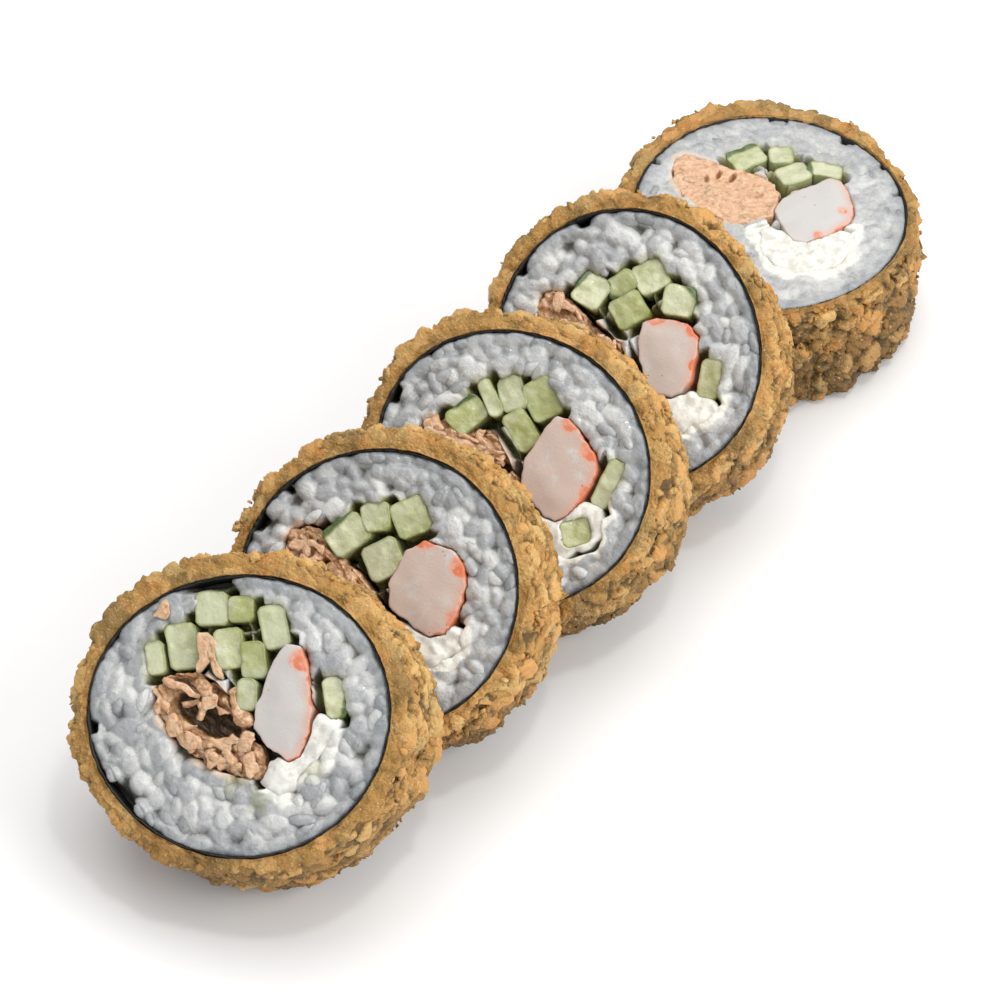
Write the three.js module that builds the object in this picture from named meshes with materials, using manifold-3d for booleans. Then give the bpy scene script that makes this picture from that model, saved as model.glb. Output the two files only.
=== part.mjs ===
// Crunchy sushi roll: five slices of one fried roll, leaning on each other in the order they were cut.
// Millimetres, Z up. The row runs along Y with its front slice towards -Y, the back slice lies flat,
// and the origin is on the surface below the middle of the row.
// A slice is drawn flat: its cut face is the XY plane, seen from +Z, and the slice goes down to -thick.

import * as THREE from 'three';
import { mergeVertices } from 'three/addons/utils/BufferGeometryUtils.js';
import Module from 'manifold-3d';

const wasm = await Module();
wasm.setup();

// Driving dimensions that all the slices share.
const gap = 0.3; // clearance between pieces that touch
const noriThickness = 0.4;
const noriSetBack = 0.3; // how far the seaweed stops short of both cut faces
const noriSwell = 0.25; // unevenness of the seaweed's oval
const crustCrag = 1.6; // depth of the crags between the crumbs
const crumbProud = 0.7; // how far a large crumb stands above the others
const crumbShare = 0.12; // share of the crumbs that are large
const frontEdgeWear = 0.4; // how much more is broken off along the front and the back edge
const backEdgeWear = 1.2;
const looseness = 0.5; // how far a crumb or grain strays from its place, as a share of the spacing
const riceBump = 0.9; // depth between the grains of a cut face
const riceNotch = 0.5; // depth between the grains along the seaweed
const stickCorner = 0.5; // corner cut off a cucumber stick
const ringCorners = 48; // corners round the crust, the seaweed and the rice
const crustBands = 6; // bands of crags through the thickness
const riceFrontBands = 4; // bands of grain bumps from the fillings out to the seaweed
const riceBackBands = 3;
const leastHole = 6; // smallest half-width of the room for the fillings
const cornerCut = 0.22; // how much of each side a filling's rounded corner takes
const plugInnerShare = 0.55; // size of the ring inside a filling's cut edge
const crabCut = { edge: 0.3, relief: 0.4 }; // depth of the cut edge, and of the relief inside it
const salmonCut = { edge: 0.4, relief: 1.8 };
const creamCut = { edge: 0.2, relief: 0.7 };

// The slices from front to back. at is the middle of the cut face, seen from above. swing turns the
// slice about the vertical and lean tips its face from straight up, both in degrees. oval is the
// seaweed's two half-widths and the turn of the first. crust is the crust's thickness, and lobe the side
// where it is thickest and how much that adds. A cucumber stick is [x, y, width, height, turn], and the
// other fillings are given by the corners of their cut.
const slices = [
  {
    name: 'slice_1', seed: 11, crust: 4.2, at: [12.4, -94.5], swing: 13.9, lean: 38.1, thick: 23.4,
    oval: [26.4, 23.8, 11], lobe: [115, 1],
    cucumbers: [
      [-10, 16, 5, 5, 18], [-5.1, 17.3, 3.8, 3.7, 18], [1.2, 16, 4, 6.6, 26],
      [-13.2, 8.6, 4.6, 7, 25], [-17.2, 5.4, 2.6, 5, 22], [-5.2, 10.4, 4.2, 6.2, 23],
      [-0.6, 9.6, 3.8, 5.6, 22], [0.2, 3.8, 2.8, 4.6, 13], [14.9, 7.4, 2.8, 6.6, 26],
    ],
    crab: [[3.4, 13.6], [7.6, 14], [12.9, 2], [11.6, -5.2], [6.6, -4], [2.2, -0.6]],
    salmon: [
      [-16.5, 2.3], [-10.4, 5], [-4.5, 4], [0, -1], [7.2, -6.6], [6.4, -9.6], [-2, -9.8], [-12.4, -5.6],
    ],
    cream: [[12.8, 3], [16.8, 4.6], [15.6, -1.2], [11.5, -10], [7.6, -10.4], [7.8, -6]],
  },
  {
    name: 'slice_2', seed: 23, crust: 4.0, at: [13.9, -56.2], swing: 13.5, lean: 40.6, thick: 22.5,
    oval: [25, 23.7, -9], lobe: [120, 0.9],
    cucumbers: [
      [-8.4, 7.3, 5, 6.6, -38], [-4.4, 11.5, 4.6, 4.4, 20], [1.6, 13.1, 5.6, 5.6, 38], [-1, 4.9, 6, 5.8, 40],
    ],
    crab: [[3.4, 9.9], [12.2, 9.5], [15, 3], [13.8, -4], [9.8, -6], [0.8, -1.5]],
    salmon: [
      [-19, 4.5], [-15, 8], [-9, 4], [-2, 0], [1.6, -3.6], [5, -8], [-2, -10], [-12, -6.4], [-18, -1],
    ],
    cream: [[4, -5], [15.4, -3.4], [16.6, -7], [11, -11], [5.4, -9.6]],
  },
  {
    name: 'slice_3', seed: 37, crust: 3.8, at: [15.5, -18.5], swing: 12.6, lean: 38.3, thick: 21.8,
    oval: [26, 23.1, -25], lobe: [120, 0.9],
    cucumbers: [
      [-11, 6.6, 4.4, 6.2, -32], [-7.9, 10.6, 1.8, 7, 43], [-4.4, 12.4, 4, 5.8, 34],
      [1, 12.8, 6.4, 5.2, -44], [-0.6, 6.6, 6.6, 3.8, -42], [17.3, 1.8, 2.6, 8.2, -12],
      [14.4, -8, 4.4, 4.2, 32],
    ],
    crab: [[4.2, 10.3], [8, 10.6], [14.8, 5], [14.2, -1.5], [10.9, -7], [7.2, -6.6], [1.2, -1.5]],
    salmon: [
      [-18, 3.5], [-13, 5.6], [-6.5, 4.6], [-2, 2], [0.8, -2], [5, -7.5], [-2, -9.5], [-12, -6], [-17, -1],
    ],
    cream: [[6.6, -8.4], [13, -3], [17.6, -3.4], [18.8, -9], [12, -12.8]],
  },
  {
    name: 'slice_4', seed: 53, crust: 3.5, at: [14.8, 18.7], swing: 12.9, lean: 35.9, thick: 20.9,
    oval: [25.8, 23.7, -40], lobe: [130, 1.1],
    cucumbers: [
      [-9.8, 8.2, 5.2, 5.6, -15], [-5, 10.7, 3.4, 5.2, -43], [-0.2, 13.6, 5.2, 5.6, 44],
      [-1.9, 6.6, 5, 5.6, -44], [6.4, 10.6, 5, 4.9, 6], [15.9, -1.4, 3.4, 6.4, 6],
    ],
    crab: [[1.2, 6.4], [11.4, 6.9], [13, -1], [11.6, -6.4], [6, -7], [2, 0]],
    salmon: [
      [-18.5, 5.5], [-14.5, 6.5], [-8, 3], [-3, 1], [1, -3], [4, -7.8], [-3, -9.5], [-12, -6], [-17.5, -0.5],
    ],
    cream: [[8, -8], [13, -5.4], [17.4, -5.4], [18.4, -8.6], [13, -11.6]],
  },
  {
    name: 'slice_5', seed: 71, crust: 3.5, at: [10.9, 71.6], swing: 35, lean: 0, thick: 23.4, restsFlat: true,
    oval: [26.4, 25.4, 90], lobe: [98, 3],
    cucumbers: [
      [-3.6, 15.4, 6.2, 4.4, 31], [2.9, 15.7, 3.8, 4, 2], [5, 10.9, 5.4, 4.6, 24], [11, 11.9, 6, 2.8, -14],
    ],
    crab: [[0.6, 2.6], [11.6, 9.4], [14.2, 8.8], [16.2, 0], [14.4, -3.6], [8, -7.8], [3.6, -7.2]],
    salmon: [
      [-16, 16.4], [-11, 14], [-5, 11.4], [1.2, 9], [2.4, 5], [-0.8, -1.6], [-8, -2.4], [-14, 3], [-18, 10],
    ],
    cream: [[-1, -3.6], [5, -8], [15.6, -5.6], [14, -11], [9, -15.4], [3, -15.6], [-1, -10]],
  },
];

const finishes = {
  crust: { color: 0xc69455, roughness: 0.75 },
  nori: { color: 0x17160f, roughness: 0.5 },
  rice: { color: 0xc5ccd3, roughness: 0.35 },
  salmon: { color: 0xd9a384, roughness: 0.55 },
  cucumber: { color: 0xb4bd86, roughness: 0.3 },
  crab_stick: { color: 0xdcc6bd, roughness: 0.45 },
  cream_cheese: { color: 0xf4f4ec, roughness: 0.4 },
};

const radians = THREE.MathUtils.degToRad;

// A draw of numbers from 0 to 1 that is the same each time for the same seed.
function seededDraw(seed) {
  const multiplier = 1664525;
  const increment = 1013904223;
  const range = 2 ** 32;
  let state = seed;
  return () => {
    state = (state * multiplier + increment) % range;
    return state / range;
  };
}

function turned(x, y, degrees) {
  return new THREE.Vector2(x, y).rotateAround(new THREE.Vector2(), radians(degrees));
}

// The seaweed's half-width at an angle: an oval with a slight swell three times round.
function noriRadius(slice, angle) {
  const [long, short, turn] = slice.oval;
  const fromLong = angle - radians(turn);
  const oval = (long * short) / Math.hypot(short * Math.cos(fromLong), long * Math.sin(fromLong));
  return oval + noriSwell * Math.sin(3 * angle + slice.seed);
}

function ringAngle(corner) {
  return (corner / ringCorners) * 2 * Math.PI;
}

function ringPoint(angle, radius, z) {
  return new THREE.Vector3(radius * Math.cos(angle), radius * Math.sin(angle), z);
}

// Joins a closed row of closed sections into a ring. A section runs from its inner front corner
// outwards, down the outside and back along the underside.
function ringGeometry(sections) {
  const rows = sections.length;
  const columns = sections[0].length;
  const positions = sections.flat().flatMap((point) => point.toArray());
  const triangles = [];
  for (let row = 0; row < rows; row++) {
    for (let column = 0; column < columns; column++) {
      const nextRow = (row + 1) % rows;
      const nextColumn = (column + 1) % columns;
      const near = row * columns + column;
      const nearOut = row * columns + nextColumn;
      const far = nextRow * columns + column;
      const farOut = nextRow * columns + nextColumn;
      triangles.push(near, nearOut, farOut, near, farOut, far);
    }
  }
  return indexedGeometry(positions, triangles);
}

function indexedGeometry(positions, triangles) {
  const geometry = new THREE.BufferGeometry();
  geometry.setAttribute('position', new THREE.Float32BufferAttribute(positions, 3));
  geometry.setIndex(triangles);
  return geometry;
}

function noriGeometry(slice) {
  const sections = [];
  for (let corner = 0; corner < ringCorners; corner++) {
    const angle = ringAngle(corner);
    const inner = noriRadius(slice, angle) - noriThickness / 2;
    const outer = inner + noriThickness;
    const back = noriSetBack - slice.thick;
    sections.push([
      ringPoint(angle, inner, -noriSetBack),
      ringPoint(angle, outer, -noriSetBack),
      ringPoint(angle, outer, back),
      ringPoint(angle, inner, back),
    ]);
  }
  return ringGeometry(sections);
}

// The fried crust: a thick ring whose outside is broken into crags, thickest on the side of its lobe.
function crustGeometry(slice) {
  const draw = seededDraw(slice.seed);
  const [lobeSide, lobeHeight] = slice.lobe;
  const sections = [];
  for (let corner = 0; corner < ringCorners; corner++) {
    const angle = ringAngle(corner);
    const inner = noriRadius(slice, angle) + noriThickness / 2 + gap;
    const lobe = lobeHeight * Math.max(0, Math.cos(angle - radians(lobeSide))) ** 2;
    const outer = noriRadius(slice, angle) + slice.crust + lobe;
    const section = [ringPoint(angle, inner, -draw() * riceBump)];
    for (let band = 0; band <= crustBands; band++) {
      const atEdge = band === 0 || band === crustBands;
      const wear = band === 0 ? frontEdgeWear : atEdge ? backEdgeWear : 0;
      const along = atEdge ? 0 : (draw() - 0.5) * looseness;
      const sideways = (draw() - 0.5) * looseness * ringAngle(1);
      const depth = (slice.thick * (band + along)) / crustBands;
      const proud = !atEdge && draw() < crumbShare ? crumbProud : 0;
      section.push(ringPoint(angle + sideways, outer + proud - wear - crustCrag * draw(), -depth));
    }
    section.push(ringPoint(angle, inner, slice.restsFlat ? -slice.thick : draw() * riceBump - slice.thick));
    sections.push(section);
  }
  return ringGeometry(sections);
}

// How far the fillings reach from the middle of the hole, at each corner of the rice ring. Every point of
// every filling's outline lifts the two corners whose directions it lies between.
function holeRadii(heart, ringOutline, fillings) {
  const directions = ringOutline.map((point) => point.clone().sub(heart).angle());
  const radii = ringOutline.map(() => leastHole);
  const stepsPerEdge = 8;
  for (const outline of fillings) {
    outline.forEach((corner, index) => {
      const next = outline[(index + 1) % outline.length];
      for (let step = 0; step < stepsPerEdge; step++) {
        const reach = corner.clone().lerp(next, step / stepsPerEdge).sub(heart);
        const direction = reach.angle();
        for (let before = 0; before < ringCorners; before++) {
          const after = (before + 1) % ringCorners;
          const span = THREE.MathUtils.euclideanModulo(directions[after] - directions[before], 2 * Math.PI);
          const into = THREE.MathUtils.euclideanModulo(direction - directions[before], 2 * Math.PI);
          if (into <= span) {
            radii[before] = Math.max(radii[before], reach.length() + gap);
            radii[after] = Math.max(radii[after], reach.length() + gap);
          }
        }
      }
    });
  }
  return radii;
}

// The rice: a ring from the fillings out to the seaweed, with bumps as large as its grains on both cuts.
function riceGeometry(slice, fillings) {
  const draw = seededDraw(slice.seed + 1);
  const heart = middle(fillings.flat());
  const rim = Array.from({ length: ringCorners }, (_, corner) => {
    const radius = noriRadius(slice, ringAngle(corner)) - noriThickness / 2 - gap - riceNotch * draw();
    return turned(radius, 0, THREE.MathUtils.radToDeg(ringAngle(corner)));
  });
  const radii = holeRadii(heart, rim, fillings);
  const sections = rim.map((outer, corner) => {
    const inner = outer.clone().sub(heart).setLength(radii[corner]).add(heart);
    const band = outer.distanceTo(inner);
    const along = outer.clone().sub(inner).normalize();
    const across = new THREE.Vector2(-along.y, along.x);
    const at = (share, shift, z) => {
      const point = inner.clone().lerp(outer, share).addScaledVector(across, shift);
      return new THREE.Vector3(point.x, point.y, z);
    };
    const section = [];
    for (let step = 0; step <= riceFrontBands; step++) {
      const loose = step > 0 && step < riceFrontBands;
      const stray = loose ? (draw() - 0.5) * looseness : 0;
      const shift = loose ? (draw() - 0.5) * looseness * (band / riceFrontBands) : 0;
      section.push(at((step + stray) / riceFrontBands, shift, -riceBump * draw()));
    }
    for (let step = riceBackBands; step >= 0; step--) {
      const depth = slice.restsFlat ? 0 : riceBump * draw();
      section.push(at(step / riceBackBands, 0, depth - slice.thick));
    }
    return section;
  });
  return ringGeometry(sections);
}

function middle(points) {
  const sum = points.reduce((total, point) => total.add(point), new THREE.Vector2());
  return sum.divideScalar(points.length);
}

// A cucumber stick's cut: a rectangle with its corners taken off.
function stickOutline([x, y, width, height, turn]) {
  const halfWidth = width / 2;
  const halfHeight = height / 2;
  const corners = [[1, 1], [-1, 1], [-1, -1], [1, -1]];
  return corners.flatMap(([right, up], index) => {
    const alongX = new THREE.Vector2(right * (halfWidth - stickCorner), up * halfHeight);
    const alongY = new THREE.Vector2(right * halfWidth, up * (halfHeight - stickCorner));
    const pair = index % 2 === 0 ? [alongY, alongX] : [alongX, alongY];
    return pair.map((point) => turned(point.x, point.y, turn).add(new THREE.Vector2(x, y)));
  });
}

// Corners listed either way round come back anticlockwise, each one replaced by two points on its edges.
function roundedOutline(corners) {
  const points = corners.map(([x, y]) => new THREE.Vector2(x, y));
  if (THREE.ShapeUtils.area(points) < 0) points.reverse();
  return points.flatMap((point, index) => {
    const before = points[(index + points.length - 1) % points.length];
    const after = points[(index + 1) % points.length];
    return [point.clone().lerp(before, cornerCut), point.clone().lerp(after, cornerCut)];
  });
}

// An anticlockwise outline moved outwards by a distance.
function grown(outline, distance) {
  return outline.map((point, index) => {
    const before = outline[(index + outline.length - 1) % outline.length];
    const after = outline[(index + 1) % outline.length];
    const edgeIn = point.clone().sub(before).normalize();
    const edgeOut = after.clone().sub(point).normalize();
    const normalIn = new THREE.Vector2(edgeIn.y, -edgeIn.x);
    const normalOut = new THREE.Vector2(edgeOut.y, -edgeOut.x);
    const bisector = normalIn.clone().add(normalOut).divideScalar(1 + normalIn.dot(normalOut));
    return point.clone().addScaledVector(bisector, distance);
  });
}

function prism(outline, front, back) {
  const section = new THREE.Shape(outline);
  const through = { depth: front - back, bevelEnabled: false };
  return new THREE.ExtrudeGeometry(section, through).translate(0, 0, back);
}

// A filling whose front is raised or crumbled: the outline goes straight through, and inside it on the
// front an inner ring and a middle point stand at heights of their own.
function crownedPlug(outline, slice, cut, draw) {
  const centre = middle(outline);
  const count = outline.length;
  const back = slice.restsFlat ? -slice.thick : riceBump / 2 - slice.thick;
  const points = [new THREE.Vector3(centre.x, centre.y, back)];
  for (const point of outline) points.push(new THREE.Vector3(point.x, point.y, back));
  for (const point of outline) {
    points.push(new THREE.Vector3(point.x, point.y, -cut.edge - cut.relief * draw()));
  }
  for (const point of outline) {
    const inner = centre.clone().lerp(point, plugInnerShare);
    points.push(new THREE.Vector3(inner.x, inner.y, -cut.relief * draw()));
  }
  points.push(new THREE.Vector3(centre.x, centre.y, -cut.relief * draw()));
  const triangles = [];
  const firstBack = 1;
  const firstFront = firstBack + count;
  const firstInner = firstFront + count;
  const top = firstInner + count;
  for (let side = 0; side < count; side++) {
    const next = (side + 1) % count;
    triangles.push(0, firstBack + next, firstBack + side);
    triangles.push(firstBack + side, firstBack + next, firstFront + next);
    triangles.push(firstBack + side, firstFront + next, firstFront + side);
    triangles.push(firstFront + side, firstFront + next, firstInner + next);
    triangles.push(firstFront + side, firstInner + next, firstInner + side);
    triangles.push(firstInner + side, firstInner + next, top);
  }
  return indexedGeometry(points.flatMap((point) => point.toArray()), triangles);
}

function toSolid(geometry) {
  const bare = geometry.clone();
  bare.deleteAttribute('normal');
  bare.deleteAttribute('uv');
  const merged = mergeVertices(bare);
  const vertProperties = new Float32Array(merged.getAttribute('position').array);
  const triVerts = new Uint32Array(merged.index.array);
  return new wasm.Manifold(new wasm.Mesh({ numProp: 3, vertProperties, triVerts }));
}

function fromSolid(solid) {
  const mesh = solid.getMesh();
  return indexedGeometry(mesh.vertProperties, Array.from(mesh.triVerts));
}

// Cuts a filling clear of those that were placed before it.
function cutClear(geometry, slice, placed) {
  const beyond = 1;
  let solid = toSolid(geometry);
  for (const outline of placed) {
    solid = solid.subtract(toSolid(prism(grown(outline, gap), beyond, -slice.thick - beyond)));
  }
  return fromSolid(solid);
}

// The fillings in the order they claim their room: crab stick, cucumber sticks, salmon, cream cheese.
function fillingsOf(slice) {
  const draw = seededDraw(slice.seed + 2);
  const outlines = [];
  const pieces = [];
  const place = (name, kind, outline, geometry) => {
    pieces.push({ name, kind, geometry: cutClear(geometry, slice, outlines) });
    outlines.push(outline);
  };
  const plug = (name, corners, cut) => {
    const outline = roundedOutline(corners);
    place(name, name, outline, crownedPlug(outline, slice, cut, draw));
  };
  plug('crab_stick', slice.crab, crabCut);
  slice.cucumbers.forEach((stick, index) => {
    const outline = stickOutline(stick);
    const backRise = slice.restsFlat ? 0 : riceBump * draw();
    const solid = prism(outline, -riceBump * draw(), backRise - slice.thick);
    place(`cucumber_${index + 1}`, 'cucumber', outline, solid);
  });
  plug('salmon', slice.salmon, salmonCut);
  plug('cream_cheese', slice.cream, creamCut);
  return { pieces, outlines };
}

function finishOf(kind) {
  return new THREE.MeshStandardMaterial({ ...finishes[kind], metalness: 0 });
}

// One slice, drawn flat, then tipped back, turned and let down until its lowest crumb is on the surface.
function sliceGroup(slice) {
  const flat = new THREE.Group();
  const add = (piece, kind, geometry) => {
    const mesh = new THREE.Mesh(geometry, finishOf(kind));
    mesh.name = `${slice.name}_${piece}`;
    flat.add(mesh);
  };
  const fillings = fillingsOf(slice);
  add('crust', 'crust', crustGeometry(slice));
  add('nori', 'nori', noriGeometry(slice));
  add('rice', 'rice', riceGeometry(slice, fillings.outlines));
  for (const piece of fillings.pieces) add(piece.name, piece.kind, piece.geometry);
  flat.rotation.x = radians(slice.lean);
  const standing = new THREE.Group();
  standing.add(flat);
  standing.rotation.z = radians(slice.swing);
  const lowest = new THREE.Box3().setFromObject(standing, true).min.z;
  standing.position.set(slice.at[0], slice.at[1], -lowest);
  return standing;
}

const roll = new THREE.Group();
for (const slice of slices) roll.add(sliceGroup(slice));

// The origin goes below the middle of the whole row.
const extent = new THREE.Box3().setFromObject(roll, true).getCenter(new THREE.Vector3());
roll.position.set(-extent.x, -extent.y, 0);
roll.updateMatrixWorld(true);

export default roll;
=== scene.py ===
import itertools
import math

import bpy
import numpy as np
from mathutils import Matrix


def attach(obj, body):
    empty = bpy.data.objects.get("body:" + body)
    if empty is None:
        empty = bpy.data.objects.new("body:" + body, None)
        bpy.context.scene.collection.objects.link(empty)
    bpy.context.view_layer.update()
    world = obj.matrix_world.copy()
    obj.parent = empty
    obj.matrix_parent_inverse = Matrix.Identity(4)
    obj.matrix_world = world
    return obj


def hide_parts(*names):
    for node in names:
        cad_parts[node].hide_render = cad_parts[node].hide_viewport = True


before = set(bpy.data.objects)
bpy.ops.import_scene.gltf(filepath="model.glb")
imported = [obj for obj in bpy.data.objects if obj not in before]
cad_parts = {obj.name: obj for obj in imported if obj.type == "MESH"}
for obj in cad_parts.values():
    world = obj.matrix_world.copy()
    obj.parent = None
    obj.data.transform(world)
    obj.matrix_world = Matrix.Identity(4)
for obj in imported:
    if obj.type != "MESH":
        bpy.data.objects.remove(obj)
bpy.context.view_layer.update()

metre = 0.001  # shapes are worked out in millimetres and stored in metres
fullTurn = 2 * math.pi
rollRadius = 25  # of the seaweed, about, to go between angles and widths along it

# The slices, front to back. All places are in millimetres on the cut face, right and up from its middle, and
# all directions in degrees.
# swing: turn of the slice's solids about the vertical; flesh: the lie of the salmon's flakes
# grainy: how far the rice grains stand out; flaked: how far the salmon has fallen into flakes
# blush: how pink the crab stick is; skin: where its red skin is strongest; patches: red spots (x, y, radius)
# notches: places along the seaweed with no rice (direction, width)
# hollows: in the salmon (x, y, half length, half width, turn, depth)
# shards: single flakes (x, y, height, length, width, turn); smears: rice tinted by juice (x, y, radius)
# peel: by a cucumber stick's number, where its green skin faces
sliceValues = [
    {
        "name": "slice_1", "seed": 11, "swing": 13.9, "flesh": -30,
        "notches": [(120, 10), (228, 11), (200, 2)], "grainy": 1, "flaked": 1, "blush": 0.25,
        "hollows": [(-6, -1.6, 6.6, 2.7, -14, 3.4), (-9, 2.6, 5, 1.3, 0, 1.6)],
        "shards": [
            (-11.2, 1.6, -0.4, 9, 1.5, -4), (-9.1, 8.4, 0.3, 8.4, 2.9, -80), (-6.7, 8.3, 0.5, 9.6, 1.2, -50),
            (-7.2, 2.9, -0.5, 4.6, 1.7, -52), (-5.6, 1.1, 0.1, 3.4, 3.2, 16),
            (-6.2, -1.1, -0.9, 3.8, 1.7, -87), (-9, -0.2, -1.4, 3.6, 1.2, 40),
            (-3.9, 0.1, -0.9, 4.6, 1.2, -24), (-0.2, 1.2, -0.8, 9, 2.2, -43),
            (-14.6, -1.4, -0.9, 5.6, 1.3, -59), (-11.9, -4.4, -0.8, 6, 1.6, -32),
            (-6.9, -6, -0.7, 6.6, 1.8, -10), (-2.3, -5.4, -0.4, 6.2, 2.4, 9), (2.4, -4.2, -0.3, 4.8, 2.2, 34),
            (1.3, -8, -0.5, 4.4, 2.2, 5), (4.4, -7.4, -0.5, 4.4, 2.2, -30), (-18.2, 13.1, 0.2, 3.5, 2.4, 30),
        ],
        "smears": [(7.4, -12.8, 3.4), (2.1, -11.4, 2.8), (15.2, -5.4, 2.6), (-12.6, 10.4, 3)],
        "peel": {9: 0},
        "skin": 0, "patches": [(7.4, 11.6, 1.9)],
    },
    {
        "name": "slice_2", "seed": 23, "swing": 13.5, "flesh": -35,
        "notches": [(168, 3), (150, 1.2)], "grainy": 1.1, "flaked": 1, "blush": 1,
        "hollows": [
            (-6.8, -2.4, 1.4, 0.9, -20, 3), (-1.6, -4.6, 1.2, 0.7, -30, 3), (-10.5, 1.2, 1.2, 0.7, -40, 2.4),
        ],
        "shards": [], "smears": [(6.4, -13, 3.4), (13, -9, 2.4)],
        "peel": {1: 150},
        "skin": -10, "patches": [(5.6, 10, 1.6), (12.6, 7.2, 1.8), (14, -1.4, 1.2)],
    },
    {
        "name": "slice_3", "seed": 37, "swing": 12.6, "flesh": -25,
        "notches": [(165, 3), (142, 1.6)], "grainy": 1, "flaked": 1, "blush": 1.2,
        "hollows": [(-2.2, -0.6, 1.6, 1.1, 10, 3), (-8.2, 4.6, 2.6, 0.8, 10, 1.6)],
        "shards": [], "smears": [(5, -13.5, 3)],
        "peel": {1: 135},
        "skin": 5, "patches": [(7.6, 9.6, 1.4), (12.6, 6.4, 1.9), (13.8, -0.6, 0.9)],
    },
    {
        "name": "slice_4", "seed": 53, "swing": 12.9, "flesh": -30,
        "notches": [(158, 4), (128, 2)], "grainy": 1, "flaked": 1, "blush": 0.8,
        "hollows": [(-5.8, 1.4, 3.4, 1.2, -30, 2.2)],
        "shards": [], "smears": [(14, -6, 2.4)],
        "peel": {1: 150, 5: 60, 2: -100},
        "skin": 40, "patches": [(3.4, 6.4, 1.5), (10.6, 6.2, 1.5), (12.6, 0, 1)],
    },
    {
        "name": "slice_5", "seed": 71, "swing": 35, "flesh": 12,
        "notches": [(84, 3), (52, 2.6), (30, 1.2), (146, 1), (12, 1)], "grainy": 0.45, "flaked": 0.2,
        "blush": 0.15,
        "hollows": [
            (-11.4, 9.4, 0.9, 0.5, 80, 2.4), (-9, 10.6, 1, 0.4, 75, 2.4), (-6.4, 9.8, 1.2, 0.5, 70, 2.2),
            (-2, 4.6, 1, 0.3, 20, 1.6),
        ],
        "shards": [], "smears": [(7, 12.4, 3.6), (12.4, 9, 3), (12.6, -6.4, 2.2)],
        "peel": {1: 120, 4: 190},
        "skin": -10, "patches": [(13.8, 0.4, 1.1), (9, -6, 0.9)],
    },
]


# S curve: 0 below low, 1 above high, three squares less two cubes of the share between.
def ease(low, high, value):
    share = np.clip((value - low) / (high - low), 0, 1)
    return share * share * (3 - 2 * share)


# A repeatable number from 0 to 1 for each lattice cell: its whole numbers times three large primes are mixed
# with the seed, then twice folded down and multiplied.
def cellNumber(cells, seed):
    mixed = cells[..., 0] * 73856093 ^ cells[..., 1] * 19349663 ^ cells[..., 2] * 83492791 ^ seed * 40503
    mixed = ((mixed ^ (mixed >> 13)) * 1274126177) & 0xFFFFFFFF
    mixed = ((mixed ^ (mixed >> 15)) * 2246822519) & 0xFFFFFFFF
    return (mixed ^ (mixed >> 16)) / 2**32


# Smooth noise from -1 to 1: the eight corner numbers of a point's cell, weighted by the S curve of its place.
def softNoise(points, size, seed):
    place = points / size
    cell = np.floor(place).astype(np.int64)
    share = ease(0, 1, place - cell)
    total = np.zeros(points.shape[:-1])
    for corner in itertools.product((0, 1), repeat=3):
        weight = np.prod(np.where(corner, share, 1 - share), axis=-1)
        total += weight * cellNumber(cell + np.array(corner), seed)
    return 2 * total - 1


# Grain noise: each cell holds one random spot. Gives the distance to the nearest spot and the second, in
# cells, the nearest one's own number, and how far the point lies from it.
def spotNoise(points, size, seed):
    place = points / size
    cell = np.floor(place).astype(np.int64)
    near = np.full(points.shape[:-1], 9.0)
    second, number, offset = near.copy(), np.zeros_like(near), np.zeros(points.shape)
    for step in itertools.product((-1, 0, 1), repeat=3):
        other = cell + np.array(step)
        spot = other + np.stack([cellNumber(other, seed + axis) for axis in range(3)], -1)
        distance = np.linalg.norm(place - spot, axis=-1)
        closer = distance < near
        second = np.where(closer, near, np.minimum(second, distance))
        number = np.where(closer, cellNumber(other, seed + 3), number)
        offset = np.where(closer[..., None], place - spot, offset)
        near = np.where(closer, distance, near)
    return near, second, number, offset


# bend: how far the cells are bent; lowest: the height of the lowest crumbs; fall: from a crumb's top to its
# edge; slope and spin: how steeply crumbs lean, and how unlike the directions of two with near numbers are
crumbShape = {
    "bend": 0.4, "bendSize": 0.9, "lowest": 0.3, "fall": 0.9, "slope": 0.5, "spin": 41, "crack": 0.35,
    "crackWidth": 0.25,
}


# Crumbs of one size, from about 0 to 1: in bent cells, each rises with the square of its number, falls with
# the squared distance from its spot and slopes its own way, and a crack runs round it. Gives the height and
# the crumb's number.
def crumbNoise(points, size, seed, shape=crumbShape):
    bend = np.stack([softNoise(points, size * shape["bendSize"], seed + 40 + axis) for axis in range(3)], -1)
    near, second, number, offset = spotNoise(points + shape["bend"] * size * bend, size, seed)
    turn = number * shape["spin"]
    slope = offset[..., 0] * np.sin(turn) + offset[..., 1] * np.cos(turn)
    slope = slope + offset[..., 2] * np.sin(2.3 * turn)
    top = shape["lowest"] + (1 - shape["lowest"]) * number**2
    height = top * (1 - shape["fall"] * np.minimum(near, 1) ** 2) + shape["slope"] * slope
    return height - shape["crack"] * ease(shape["crackWidth"], 0, second - near), number


# Signed distance of points from a closed outline, negative inside: the least distance to its edges, with the
# sign from how many edges a ray to the right crosses.
def outlineDistance(points, outline):
    start, edge = outline, np.roll(outline, -1, axis=0) - outline
    toPoint = points[..., None, :] - start
    share = np.clip((toPoint * edge).sum(-1) / np.maximum((edge * edge).sum(-1), 1e-12), 0, 1)
    distance = np.linalg.norm(toPoint - share[..., None] * edge, axis=-1).min(-1)
    rise = np.where(np.abs(edge[:, 1]) < 1e-9, 1e-9, edge[:, 1])
    level = toPoint[..., 1] / rise
    crossed = (level >= 0) & (level < 1) & (toPoint[..., 0] < level * edge[:, 0])
    return np.where(crossed.sum(-1) % 2 == 1, -distance, distance)


# Places at an angle and a radius, with a height where one is given.
def polar(radius, angle, *height):
    return np.stack(np.broadcast_arrays(radius * np.cos(angle), radius * np.sin(angle), *height), -1)


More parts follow.
